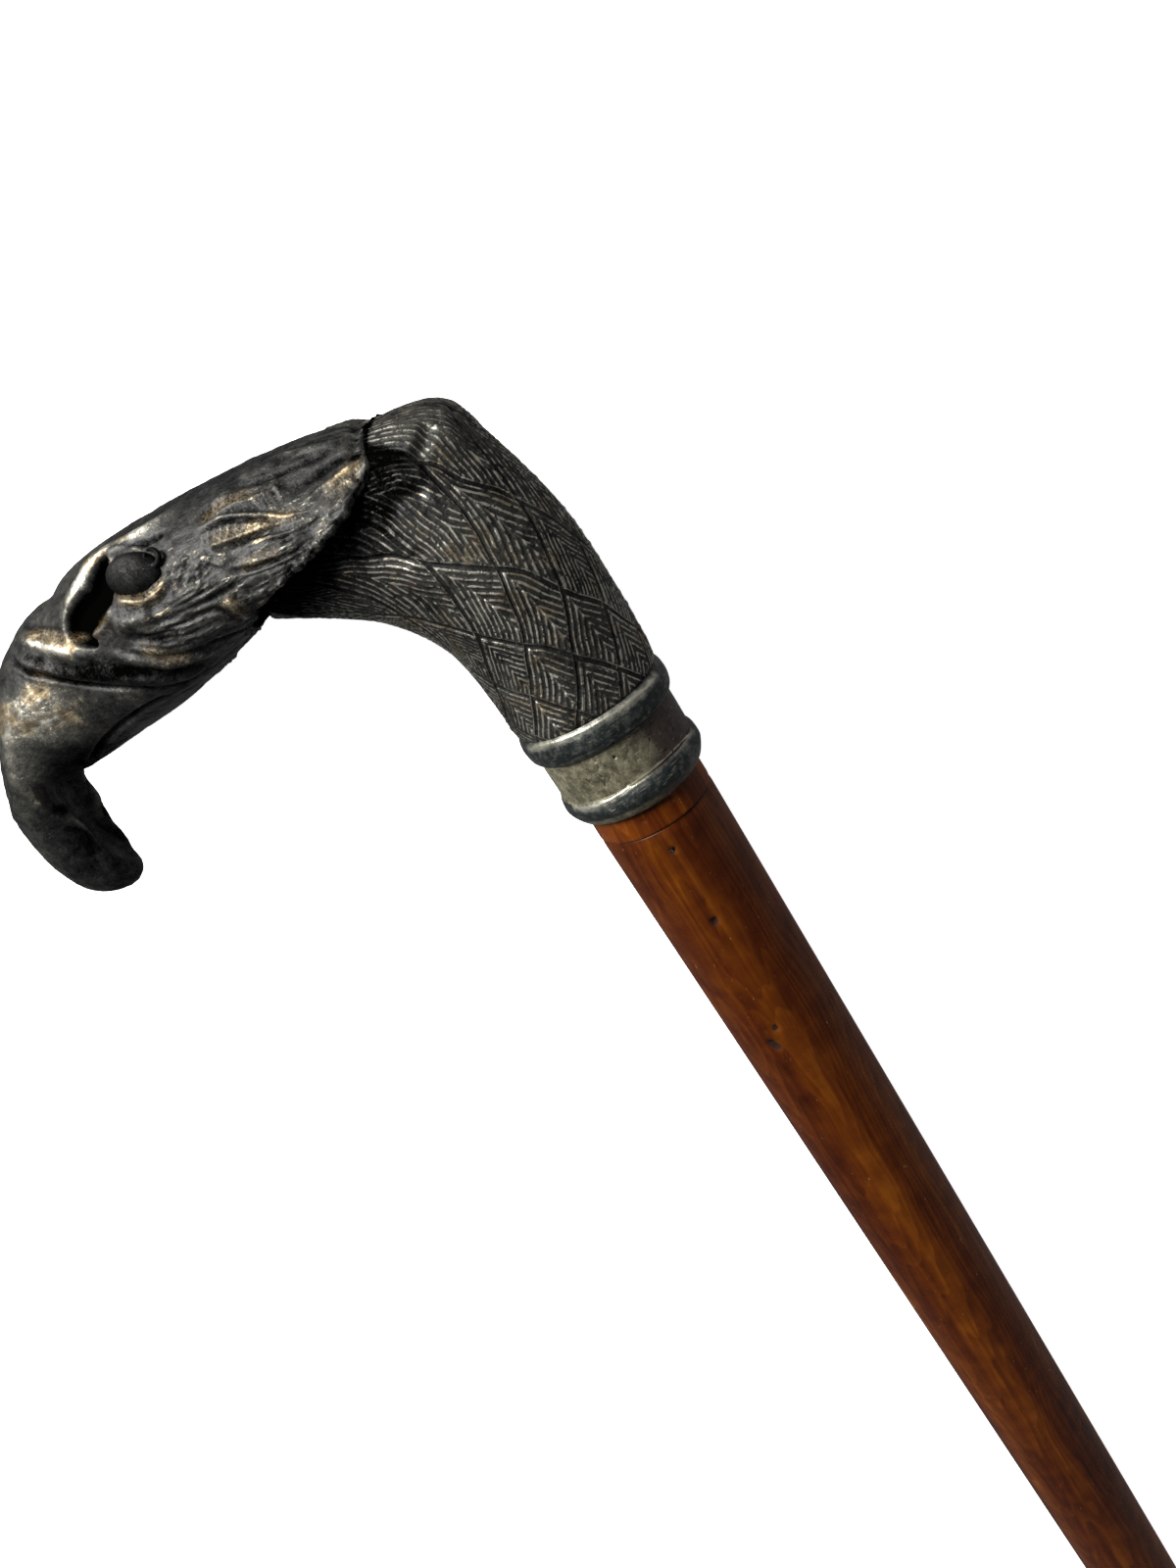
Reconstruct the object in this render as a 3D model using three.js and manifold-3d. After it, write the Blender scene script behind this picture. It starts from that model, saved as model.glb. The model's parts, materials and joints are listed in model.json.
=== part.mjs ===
// Walking cane with a cast eagle-head handle on a tapered hardwood shaft.
// Millimetres. The pieces are drawn on the axis of the shaft: X runs from the lower edge of
// the collar down to the tip, Y points out of the back of the bird's neck and Z out of its
// left side. At the end the whole cane is laid down on the bird's right side, +Z up.

import * as THREE from 'three';
import { mergeVertices } from 'three/addons/utils/BufferGeometryUtils.js';
import Module from 'manifold-3d';

const wasm = await Module();
wasm.setup();

// Whole cane
const shaftReach = 772; // lower edge of the collar to the end of the tip
const handleRise = 51.5; // upper edge of the collar to the crown of the head
const handleReach = 85.2; // axis of the shaft to the front of the hooked beak
const fit = 0.3; // clearance between faces that seat on each other

// Handle casting
const neckStep = 0.7; // the neck stands this much wider than the band of the collar
const neckHalfWidth = 12.8; // across the bend
const ruffHalfWidth = 15; // across the rim of the head feathers
const hemThickness = 1.5; // rolled edge of that rim
const ruffUndercut = 7; // depth of the hollow behind the rim
const ruffOverhang = 3.7; // reach of the rim's upper feathers back over the neck
const eyeRadius = 3.6;
const browThickness = 5;
const browHeight = 1.3;
const lidThickness = 2.8;
const lidHeight = 0.8;
const lipThickness = 5; // the fold of skin from the beak to the ruff
const lipHeight = 1.3;
const slotWidth = 4.6; // the hollow between eye and beak
const slotDepth = 2.4;
const cereWidth = 2.4; // the groove that parts the fold from the beak
const cereDepth = 0.7;
const mouthWidth = 2.2;
const mouthDepth = 1.1;
const eyeSpread = 12.9; // from the middle of the head to the front of each eyeball
const eyeFlatness = 0.75; // height of the eyeball as a share of its radius
const hookHollow = 4.2; // depth of the spoon inside the hook
const spigotWall = 2.1; // sleeve of the casting that the collar is pressed on
const spigotSetback = 1.5; // the sleeve stops this far above the collar's lower edge
const tenonShoulder = 2.45; // the tenon is this much thinner than the wood below it
const tenonLength = 30;
const cementThickness = 3; // pitch bed between the tenon and the bottom of the socket

// Collar
const collarLength = 15.9;
const collarWall = 1.1;
const upperBeadRise = 1.1;
const upperBeadLength = 4.7;
const lowerBeadRise = 0.65;
const lowerBeadLength = 4.6;
const collarLip = 0.45; // the lower edge of the collar stands this much proud of the wood

// Wooden plug, dowel and shaft
const plugShoulder = 4.3; // wood that shows between the collar and the joint line
const shaftTopRadius = 9.35;
const shaftTailRadius = 6.35;
const shaftSwell = 0.18; // how far the taper bows outwards at mid length
const dowelRadius = 3.3;
const dowelIntoPlug = 14;
const dowelIntoShaft = 20;
const pinRadius = 0.5;
const pinPlace = 8; // distance of the pin from the collar's lower edge
const pinBite = 2.2; // how far the pin reaches into the dowel

// Ferrule
const ferruleLength = 28; // sleeve and steel tip together
const ferruleWall = 0.9;
const tipHeadLength = 4.6;
const tipFlare = 0.15; // the steel tip stands this much proud of the sleeve
const tipSpigotLength = 8;
const tipChamfer = 0.8;
const nailRadius = 0.6;
const nailHeadRadius = 1.2;
const nailHeadHeight = 0.4;
const nailLength = 4.5;
const nailPlace = 5; // from the upper edge of the sleeve

// Places that several pieces share
const tenonRadius = shaftTopRadius - tenonShoulder;
const spigotRadius = tenonRadius + fit + spigotWall;
const collarBore = spigotRadius + fit;
const collarBandRadius = collarBore + collarWall;
const collarFootRadius = shaftTopRadius + collarLip;
const neckRadius = collarBandRadius + neckStep;
const plugJoint = plugShoulder + fit;
const socketBottom = -tenonLength - cementThickness - 2 * fit;
const ferruleTop = shaftReach - ferruleLength;
const sleeveEnd = shaftReach - tipHeadLength - fit;
const sleeveInner = shaftTailRadius - ferruleWall;
const tailRadius = sleeveInner - fit;
const tipSpigotTop = sleeveEnd - tipSpigotLength;
const tipHeadRadius = shaftTailRadius + tipFlare;

// Facets
const neckSides = 32;
const neckStations = 22;
const headSides = 40;
const headStations = 54;
const sideCrowding = 0.12;
const foldSteps = 14;
const foldSides = 8;
const turnedSides = 32;
const boreSides = 24;
const smallSides = 12;

const blackened = { roughness: 0.42, metalness: 0.9 };
const material = {
  whiteMetal: new THREE.MeshStandardMaterial({ color: 0x4a4c4c, ...blackened }),
  collarMetal: new THREE.MeshStandardMaterial({ color: 0x63655f, ...blackened }),
  pitch: new THREE.MeshStandardMaterial({ color: 0x2a1d14, roughness: 0.6, metalness: 0 }),
  hardwood: new THREE.MeshStandardMaterial({ color: 0x6e2f16, roughness: 0.38, metalness: 0 }),
  paleWood: new THREE.MeshStandardMaterial({ color: 0x9a6b3c, roughness: 0.7, metalness: 0 }),
  iron: new THREE.MeshStandardMaterial({ color: 0x3b3a39, roughness: 0.55, metalness: 0.8 }),
  brass: new THREE.MeshStandardMaterial({ color: 0x8f6f35, roughness: 0.4, metalness: 0.95 }),
};

// Signed volume of an indexed mesh: negative when its faces point inwards.
function signedVolume(position, index) {
  const [a, b, c] = [new THREE.Vector3(), new THREE.Vector3(), new THREE.Vector3()];
  let volume = 0;
  for (let i = 0; i < index.length; i += 3) {
    a.fromArray(position, 3 * index[i]);
    b.fromArray(position, 3 * index[i + 1]);
    c.fromArray(position, 3 * index[i + 2]);
    volume += a.dot(b.cross(c)) / 6;
  }
  return volume;
}

// A closed geometry as a solid that can be joined and cut.
function solid(geometry) {
  const bare = geometry.clone();
  bare.deleteAttribute('normal');
  bare.deleteAttribute('uv');
  const merged = mergeVertices(bare, 1e-4);
  const vertProperties = new Float32Array(merged.attributes.position.array);
  const triVerts = new Uint32Array(merged.index.array);
  if (signedVolume(vertProperties, triVerts) < 0) triVerts.reverse();
  return new wasm.Manifold(new wasm.Mesh({ numProp: 3, vertProperties, triVerts }));
}

function geometryOf(body) {
  const mesh = body.getMesh();
  const geometry = new THREE.BufferGeometry();
  geometry.setAttribute('position', new THREE.BufferAttribute(mesh.vertProperties, 3));
  geometry.setIndex(new THREE.BufferAttribute(mesh.triVerts, 1));
  geometry.computeVertexNormals();
  return geometry;
}

function piece(name, body, finish) {
  const mesh = new THREE.Mesh(geometryOf(body), finish);
  mesh.name = name;
  return mesh;
}

// A turned solid: profile points are [distance along X, radius].
function turned(profile, sides = turnedSides) {
  const points = profile.map(([x, radius]) => new THREE.Vector2(radius, x));
  const geometry = new THREE.LatheGeometry(points, sides);
  geometry.rotateZ(-Math.PI / 2);
  return solid(geometry);
}

// A plain rod on the axis of the shaft, used for cores, bores and pins.
function rod(start, end, radius, sides = boreSides) {
  return turned([[start, 0], [start, radius], [end, radius], [end, 0]], sides);
}

// A closed skin over rings of points, with a pole point at each end.
function skin(rings, firstPole, lastPole) {
  const sides = rings[0].length;
  const points = [firstPole, ...rings.flat(), lastPole];
  const last = points.length - 1;
  const index = [];
  for (let k = 0; k < sides; k += 1) {
    const next = (k + 1) % sides;
    index.push(0, 1 + next, 1 + k);
    index.push(last, last - sides + k, last - sides + next);
  }
  for (let row = 0; row < rings.length - 1; row += 1) {
    const here = 1 + row * sides;
    for (let k = 0; k < sides; k += 1) {
      const next = (k + 1) % sides;
      index.push(here + k, here + next, here + sides + next);
      index.push(here + k, here + sides + next, here + sides + k);
    }
  }
  const geometry = new THREE.BufferGeometry().setFromPoints(points);
  geometry.setIndex(index);
  return solid(geometry);
}

// Outline of the handle in the plane of symmetry, in hundredths of the rise and the reach.
const onOutline = ([rise, reach]) => new THREE.Vector3(
  -collarLength - (rise * handleRise) / 100,
  (-reach * handleReach) / 100,
  0,
);
const through = (points) => new THREE.CatmullRomCurve3(points, false, 'centripetal');
const shares = (values) => through(values.map((value, i) => new THREE.Vector3(value, i, 0)));

// One section of the handle: a rounded ring between a back point and a front point. Crowding
// draws the corners of the ring together on its left and right, where the detail is.
function section(back, front, halfWidth, roundness, sides, crowding, move) {
  const middle = back.clone().add(front).divideScalar(2);
  const halfHeight = back.clone().sub(front).divideScalar(2);
  const ring = [];
  for (let k = 0; k < sides; k += 1) {
    const even = (2 * Math.PI * k) / sides;
    const angle = even + crowding * Math.sin(2 * even);
    const up = Math.sign(Math.cos(angle)) * Math.abs(Math.cos(angle)) ** roundness;
    const out = Math.sign(Math.sin(angle)) * Math.abs(Math.sin(angle)) ** roundness;
    const point = middle.clone().addScaledVector(halfHeight, up);
    point.z = halfWidth * out;
    ring.push(move ? move(point, up, out) : point);
  }
  return ring;
}

// The feathered neck: from the collar round the bend into the head.
function neck() {
  const top = -collarLength;
  const back = through([
    new THREE.Vector3(top, neckRadius, 0),
    ...[[23, -13.6], [48, -12.5], [71.5, -8.7], [84.5, -5.5], [89.5, 5.8], [90, 15.8]].map(onOutline),
  ]);
  const front = through([
    new THREE.Vector3(top, -neckRadius, 0),
    ...[[13.5, 13.5], [30.5, 14.9], [43.5, 19.9], [52.5, 27.1], [60.3, 35.2], [66, 41.6]].map(onOutline),
  ]);
  const width = shares([neckRadius / neckHalfWidth, 0.92, 0.96, 1, 1, 0.94, 0.8]);
  const rings = [];
  for (let i = 0; i <= neckStations; i += 1) {
    const t = i / neckStations;
    const halfWidth = width.getPoint(t).x * neckHalfWidth;
    rings.push(section(back.getPoint(t), front.getPoint(t), halfWidth, 1, neckSides, 0));
  }
  const centre = (t) => back.getPoint(t).add(front.getPoint(t)).divideScalar(2);
  return skin(rings, centre(0), centre(1));
}

// The rings of the head, from the rim of its feathers to the tip of the hooked beak. The first
// ones turn the rim in behind the feathers.
function headRings() {
  const back = through([
    [89.3, 3.9], [93.5, 12.8], [96.4, 21.9], [98.4, 32], [99.6, 42.3], [100, 52],
    [98.9, 59.5], [95.9, 64.9], [95.5, 69.3], [93.3, 74], [87.7, 80.9], [80.2, 85.7],
    [71, 90.6], [61.2, 95.1], [50.6, 98.6], [39.3, 99.5], [28.6, 98.9], [20.8, 96.5], [17.2, 93],
    [16.2, 90.2],
  ].map(onOutline));
  const front = through([
    [61.4, 39.1], [59.2, 43.5], [57.2, 48.6], [55.6, 53.8], [54.5, 58.6], [54, 63],
    [53.8, 66.7], [53.4, 70.2], [53, 73.7], [52.8, 76.9], [52.6, 79.4], [52.4, 81],
    [51.9, 82.5], [50.3, 83.1], [46.8, 83.6], [40.1, 84.7], [32.3, 85.8], [25.8, 86.3],
    [20.6, 86.6], [17.8, 87.3],
  ].map(onOutline));
  const width = shares([
    1, 1, 0.99, 0.965, 0.93, 0.86, 0.75, 0.68, 0.655, 0.64, 0.6, 0.56, 0.52, 0.47,
    0.425, 0.385, 0.335, 0.27, 0.19, 0.1,
  ]);
  const spoon = shares([0, 0, 0, 0, 0, 0, 0, 0, 0, 0, 0, 0.1, 0.5, 1, 1, 0.9, 0.6, 0.25, 0, 0]);
  const keel = shares([
    0, 0, 0, 0, 0, 0, 0, 0.05, 0.1, 0.18, 0.24, 0.28, 0.3, 0.3, 0.28, 0.25, 0.2, 0.1, 0, 0,
  ]);

  // The rolled hem and the hollow behind it: distance in front of the rim and share of size.
  const rimBack = back.getPoint(0);
  const rimFront = front.getPoint(0);
  const forward = new THREE.Vector3(rimFront.y - rimBack.y, rimBack.x - rimFront.x, 0);
  forward.normalize();
  const { smoothstep } = THREE.MathUtils;
  const overhang = (up) => ruffOverhang * smoothstep(up, -0.75, 0.45) * (1 - smoothstep(up, 0.7, 0.97));
  const rimRing = (ahead, share) => {
    const middle = rimBack.clone().add(rimFront).divideScalar(2).addScaledVector(forward, ahead);
    return section(rimBack, rimFront, ruffHalfWidth, 0.9, headSides, sideCrowding, (point, up) => {
      const ends = Math.abs(up) ** 4;
      const kept = share > 1 ? share + (1 - share) * ends : share;
      const place = point.addScaledVector(forward, ahead).sub(middle).multiplyScalar(kept);
      const overNeck = overhang(up) * (1 - Math.max(ahead, 0) / ruffUndercut);
      return place.add(middle).addScaledVector(forward, -overNeck);
    });
  };
  const rings = [
    rimRing(ruffUndercut, 0.3),
    rimRing(ruffUndercut / 2, 0.62),
    rimRing(0.3, 0.92),
    rimRing(-0.1, 0.965),
    rimRing(0.2, 1.01),
    rimRing(hemThickness / 2, 1.03),
  ];
  for (let i = 1; i <= headStations; i += 1) {
    const t = i / headStations;
    const halfWidth = width.getPoint(t).x * ruffHalfWidth;
    const scoop = Math.max(spoon.getPoint(t).x, 0) * hookHollow;
    const narrowing = keel.getPoint(t).x;
    const settled = smoothstep(t, 0, 0.14);
    const inward = back.getPoint(t).sub(front.getPoint(t)).normalize();
    rings.push(section(back.getPoint(t), front.getPoint(t), halfWidth, 0.9, headSides,
      sideCrowding, (point, up, out) => {
        point.z *= 1 - narrowing * Math.max(up, 0) ** 2;
        point.addScaledVector(forward, -overhang(up) * (1 - settled));
        const underside = Math.max(-up, 0) ** 2;
        return point.addScaledVector(inward, scoop * underside * (1 - out * out));
      }));
  }
  const hollowEnd = rimBack.clone().add(rimFront).divideScalar(2);
  hollowEnd.addScaledVector(forward, ruffUndercut + 1);
  return { rings, hollowEnd, tip: onOutline([16.3, 88.7]) };
}

const head = headRings();

// Distance of the left cheek from the plane of symmetry at a place in the side view, from the
// four ring points that lie nearest to it.
function cheekHeight(place) {
  const near = head.rings.flat()
    .filter((point) => point.z > 0)
    .map((point) => ({ z: point.z, gap: Math.hypot(point.x - place.x, point.y - place.y) }))
    .sort((one, other) => one.gap - other.gap)
    .slice(0, 4);
  const weights = near.map(({ gap }) => 1 / (gap + 0.1));
  const total = weights.reduce((sum, weight) => sum + weight, 0);
  return near.reduce((sum, { z }, i) => sum + (z * weights[i]) / total, 0);
}

// Folds and grooves of the face, drawn in side view. A positive height stands on the cheek as
// a rounded fold and a negative one is cut into it.
const face = [
  { width: browThickness, height: browHeight,
    line: [[88.5, 63], [92.2, 55], [93.9, 48.5], [93.5, 42], [90.8, 30]] },
  { width: lidThickness, height: lidHeight,
    line: [[87, 56], [83.8, 51], [82.4, 46], [84.4, 39]] },
  { width: lipThickness, height: lipHeight,
    line: [[89.9, 72.3], [84.5, 68.9], [78.7, 65.1], [72.9, 60.4], [67.3, 55.1], [63.7, 49.2],
      [63.7, 42.2]] },
  { width: slotWidth, height: -slotDepth,
    line: [[91.5, 52.5], [89.3, 57.5], [85.6, 61.2], [80, 61.5]] },
  { width: cereWidth, height: -cereDepth,
    line: [[85.5, 76.5], [78, 71.5], [69.6, 63.6], [63.4, 57.8], [60, 51.4]] },
  { width: mouthWidth, height: -mouthDepth,
    line: [[60.3, 53], [60, 59.6], [58, 66.5], [56, 72.3], [53.8, 78.5]] },
];

// The rod that makes a fold or groove: where it crosses the cheek it has the given width, it
// reaches the given height over it, and it thins out towards both ends.
function fold({ width, height, line }, side) {
  const rise = Math.abs(height);
  const radius = (width * width) / (8 * rise) + rise / 2;
  const under = (radius - rise) * Math.sign(height);
  const path = through(line.map(onOutline).map((place) => {
    const z = side * (cheekHeight(place) - under);
    return new THREE.Vector3(place.x, place.y, z);
  }));
  const rings = [];
  for (let i = 0; i <= foldSteps; i += 1) {
    const t = i / foldSteps;
    const along = path.getTangent(t);
    const across = new THREE.Vector3(0, 0, 1).cross(along).normalize();
    const outward = across.clone().cross(along).normalize();
    const thinning = radius * (0.35 + 0.65 * Math.sin(Math.PI * t) ** 0.6);
    const ring = [];
    for (let k = 0; k < foldSides; k += 1) {
      const angle = (2 * Math.PI * k) / foldSides;
      ring.push(path.getPoint(t)
        .addScaledVector(across, thinning * Math.cos(angle))
        .addScaledVector(outward, thinning * Math.sin(angle)));
    }
    rings.push(ring);
  }
  const pole = (t, way) => path.getPoint(t).addScaledVector(path.getTangent(t), way * radius * 0.3);
  return skin(rings, pole(0, -1), pole(1, 1));
}

// An eyeball that swells out of each side of the face.
function eye(side) {
  const ball = new THREE.SphereGeometry(eyeRadius, 18, 12);
  ball.scale(1, 1, eyeFlatness);
  const place = onOutline([89.7, 46.4]);
  ball.translate(place.x, place.y, side * (eyeSpread - eyeRadius * eyeFlatness));
  return solid(ball);
}

// The outer body of a solid: pockets that are closed off inside it are filled.
function outerBody(body) {
  return body.decompose().reduce((best, part) => (part.volume() > best.volume() ? part : best));
}

// The whole casting: neck and head with both sides of the face, the sleeve for the collar and
// the blind socket.
function eagleHeadHandle() {
  let casting = neck().add(skin(head.rings, head.hollowEnd, head.tip));
  for (const side of [1, -1]) {
    for (const line of face) {
      const rounded = fold(line, side);
      casting = line.height > 0 ? casting.add(rounded) : casting.subtract(rounded);
    }
    casting = casting.add(eye(side));
  }
  const sleeve = rod(-collarLength - 1, -spigotSetback, spigotRadius, turnedSides);
  const socket = rod(socketBottom, 1, tenonRadius + fit);
  const body = outerBody(casting).add(sleeve).subtract(socket);
  return piece('eagle_head_handle', body, material.whiteMetal);
}

// A half-round bead on a turned profile, which may end on a lower step than it starts from.
function bead(start, length, rise, foot, end = foot) {
  const steps = 8;
  const points = [];
  for (let i = 1; i < steps; i += 1) {
    const angle = Math.PI * (1 - i / steps);
    const x = start + (length / 2) * (1 + Math.cos(angle));
    const base = i > steps / 2 ? THREE.MathUtils.lerp(foot, end, (2 * i) / steps - 1) : foot;
    points.push([x, base + rise * Math.sin(angle)]);
  }
  return points;
}

// The turned collar, a band between two beads.
function collar() {
  const start = -collarLength + fit;
  const lowerStart = -lowerBeadLength;
  const body = turned([
    [start, collarBore],
    [start, collarBandRadius],
    ...bead(start, upperBeadLength, upperBeadRise, collarBandRadius),
    [start + upperBeadLength, collarBandRadius],
    [lowerStart, collarBandRadius],
    ...bead(lowerStart, lowerBeadLength, lowerBeadRise, collarBandRadius, collarFootRadius),
    [0, collarFootRadius],
    [0, collarBore],
    [start, collarBore],
  ]);
  return piece('collar', body, material.collarMetal);
}

// The bed of pitch at the bottom of the socket.
function socketPitch() {
  const start = socketBottom + fit;
  return piece('socket_pitch', rod(start, start + cementThickness, tenonRadius), material.pitch);
}

// The wooden plug: its tenon fills the socket and its shoulder shows below the collar.
function woodenPlug() {
  const body = turned([
    [-tenonLength, 0],
    [-tenonLength, tenonRadius - 0.6],
    [-tenonLength + 0.6, tenonRadius],
    [fit, tenonRadius],
    [fit, shaftTopRadius],
    [plugShoulder, shaftTopRadius],
    [plugShoulder, 0],
  ]);
  const bore = rod(-dowelIntoPlug - fit, plugShoulder + 1, dowelRadius + fit);
  return piece('wooden_plug', body.subtract(bore), material.hardwood);
}

// The small iron pin that locks the dowel in the shaft, seen as a dark dot below the joint.
function pinRod(radius, depth, top) {
  const body = new THREE.CylinderGeometry(radius, radius, top - depth, smallSides);
  body.rotateX(Math.PI / 2);
  body.translate(pinPlace, 0, (top + depth) / 2);
  return solid(body);
}

const pinFoot = dowelRadius - pinBite;

function jointPin() {
  return piece('joint_pin', pinRod(pinRadius, pinFoot, shaftTopRadius - 0.15), material.iron);
}

// The dowel inside the joint of plug and shaft.
function jointDowel() {
  const body = rod(-dowelIntoPlug, plugJoint + dowelIntoShaft, dowelRadius);
  const hole = pinRod(pinRadius + fit, pinFoot - fit, dowelRadius + 1);
  return piece('joint_dowel', body.subtract(hole), material.paleWood);
}

// The shaft: a long taper with a slight swell, bored at the top and reduced at the tail.
function shaft() {
  const steps = 12;
  const end = ferruleTop - fit;
  const profile = [[plugJoint, 0]];
  for (let i = 0; i <= steps; i += 1) {
    const t = i / steps;
    const taper = THREE.MathUtils.lerp(shaftTopRadius, shaftTailRadius, t);
    profile.push([
      THREE.MathUtils.lerp(plugJoint, end, t),
      taper + shaftSwell * Math.sin(Math.PI * t),
    ]);
  }
  const tailEnd = tipSpigotTop - fit;
  profile.push([end, tailRadius], [tailEnd - 1, tailRadius], [tailEnd, tailRadius - 1]);
  profile.push([tailEnd, 0]);
  let body = turned(profile);
  body = body.subtract(rod(plugJoint - 1, plugJoint + dowelIntoShaft + fit, dowelRadius + fit));
  body = body.subtract(pinRod(pinRadius + fit, 0, shaftTopRadius + 1));
  for (const side of [1, -1]) body = body.subtract(nailRod(side, nailRadius + fit, fit));
  return piece('shaft', body, material.hardwood);
}

// A nail through the sleeve into the tail, on the back or the front of the cane.
function nailRod(side, radius, extra) {
  const outside = shaftTailRadius + fit;
  const body = new THREE.CylinderGeometry(radius, radius, nailLength + 2 * extra, smallSides);
  body.translate(ferruleTop + nailPlace, side * (outside - nailLength / 2), 0);
  return solid(body);
}

function ferruleNail(name, side) {
  const head = new THREE.CylinderGeometry(nailHeadRadius, nailHeadRadius, nailHeadHeight, 16);
  head.translate(ferruleTop + nailPlace, side * (shaftTailRadius + fit + nailHeadHeight / 2), 0);
  return piece(name, nailRod(side, nailRadius, 0).add(solid(head)), material.brass);
}

// The ferrule: a drawn sleeve over the tail of the shaft.
function ferruleSleeve() {
  let body = turned([
    [ferruleTop, sleeveInner],
    [ferruleTop, shaftTailRadius - 0.2],
    [ferruleTop + 0.4, shaftTailRadius],
    [sleeveEnd, shaftTailRadius],
    [sleeveEnd, sleeveInner],
    [ferruleTop, sleeveInner],
  ]);
  for (const side of [1, -1]) body = body.subtract(nailRod(side, nailRadius + fit, fit));
  return piece('ferrule_sleeve', body, material.brass);
}

// The steel tip that closes the sleeve and meets the ground.
function ferruleTip() {
  const headStart = sleeveEnd + fit;
  const spigot = tailRadius;
  const body = turned([
    [tipSpigotTop, 0],
    [tipSpigotTop, spigot - 0.5],
    [tipSpigotTop + 0.5, spigot],
    [headStart, spigot],
    [headStart, tipHeadRadius],
    [shaftReach - tipChamfer, tipHeadRadius],
    [shaftReach, tipHeadRadius - tipChamfer],
    [shaftReach, 0],
  ]);
  return piece('ferrule_tip', body, material.iron);
}

const cane = new THREE.Group();
cane.add(
  eagleHeadHandle(),
  collar(),
  socketPitch(),
  woodenPlug(),
  jointDowel(),
  jointPin(),
  shaft(),
  ferruleSleeve(),
  ferruleNail('ferrule_nail_back', 1),
  ferruleNail('ferrule_nail_front', -1),
  ferruleTip(),
);

// All corner points of a piece, in the frame of the group that holds the cane.
function cornersOf(name) {
  const mesh = cane.getObjectByName(name);
  const position = mesh.geometry.attributes.position;
  const corners = [];
  for (let i = 0; i < position.count; i += 1) {
    corners.push(new THREE.Vector3().fromBufferAttribute(position, i).applyMatrix4(cane.matrix));
  }
  return corners;
}

const lowest = (points) => points.reduce((low, point) => (point.z < low.z ? point : low));

// Lay the cane down: it rests on the ruff, on the brow and on the tip. The tilt brings the tip
// down to the ruff, and the roll brings the brow down to the ruff.
const browReach = (-handleReach * 30) / 100;
for (let round = 0; round < 6; round += 1) {
  cane.updateMatrix();
  const handle = cornersOf('eagle_head_handle');
  const ruff = lowest(handle.filter((point) => point.y > browReach));
  const brow = lowest(handle.filter((point) => point.y < browReach));
  const tip = lowest(cornersOf('ferrule_tip'));
  cane.rotation.y += Math.atan2(tip.z - ruff.z, tip.x - ruff.x);
  cane.rotation.x -= Math.atan((brow.z - ruff.z) / (brow.y - ruff.y));
}

// The origin is on the floor, in the middle of the cane's outline.
cane.updateMatrix();
const box = new THREE.Box3().setFromPoints(cane.children.flatMap((mesh) => cornersOf(mesh.name)));
cane.position.set(-(box.min.x + box.max.x) / 2, -(box.min.y + box.max.y) / 2, -box.min.z);

const group = new THREE.Group();
group.add(cane);

export default group;
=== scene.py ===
# An old walking cane: a tapered hardwood shaft with a cast eagle's head for a handle. It lies
# on its right side on a pale floor, and the camera stands over the head.
import json

import bpy
import numpy as np
from mathutils import Matrix, Vector, noise
from mathutils.bvhtree import BVHTree


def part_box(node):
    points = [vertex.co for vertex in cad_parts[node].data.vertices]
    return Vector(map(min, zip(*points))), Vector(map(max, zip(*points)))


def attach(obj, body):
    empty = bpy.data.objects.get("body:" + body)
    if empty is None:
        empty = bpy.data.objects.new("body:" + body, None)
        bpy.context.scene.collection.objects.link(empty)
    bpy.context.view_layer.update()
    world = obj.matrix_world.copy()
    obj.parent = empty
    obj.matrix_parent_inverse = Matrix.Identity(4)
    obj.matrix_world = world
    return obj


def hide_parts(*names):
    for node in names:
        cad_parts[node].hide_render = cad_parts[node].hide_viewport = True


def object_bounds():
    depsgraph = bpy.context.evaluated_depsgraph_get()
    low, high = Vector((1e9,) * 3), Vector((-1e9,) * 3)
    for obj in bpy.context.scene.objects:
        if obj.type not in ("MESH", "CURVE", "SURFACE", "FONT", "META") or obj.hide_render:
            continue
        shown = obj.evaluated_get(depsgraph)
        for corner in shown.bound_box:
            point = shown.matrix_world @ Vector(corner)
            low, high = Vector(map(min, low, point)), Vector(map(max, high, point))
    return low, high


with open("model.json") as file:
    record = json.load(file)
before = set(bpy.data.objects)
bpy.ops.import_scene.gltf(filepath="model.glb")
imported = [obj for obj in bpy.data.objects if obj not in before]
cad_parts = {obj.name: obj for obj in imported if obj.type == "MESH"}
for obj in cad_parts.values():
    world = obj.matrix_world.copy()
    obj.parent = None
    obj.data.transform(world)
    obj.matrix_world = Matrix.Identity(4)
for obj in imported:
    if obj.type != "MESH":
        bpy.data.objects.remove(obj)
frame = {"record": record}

cad_low, cad_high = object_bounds()


# Camera
# It looks down on the eagle's head and along the shaft towards the tip. Its place is measured
# from the lower edge of the collar, on the floor under the middle of the shaft.
MM = 0.001
photo_width, photo_height = 1200, 1600
lens_pixels = 1110
film_height = 36
camera_offset = Vector((-60.8, 19.9, 163.5)) * MM
camera_right = Vector((0.50658863, 0.86124072, 0.04040265))
camera_down = Vector((0.78572456, -0.48044753, 0.3896243))
camera_forward = camera_right.cross(camera_down)

collar_low, collar_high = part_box("collar")
collar_foot = Vector((collar_high.x, (collar_low.y + collar_high.y) / 2, 0))
camera = bpy.data.objects.new("camera", bpy.data.cameras.new("camera"))
camera.data.sensor_width = film_height
camera.data.lens = film_height * lens_pixels / photo_height
camera.data.clip_start, camera.data.clip_end = 0.005, 20
camera.matrix_world = Matrix.Translation(collar_foot + camera_offset) @ Matrix(
    (camera_right, -camera_down, -camera_forward)).transposed().to_4x4()
bpy.context.scene.collection.objects.link(camera)
bpy.context.scene.camera = camera


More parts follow.
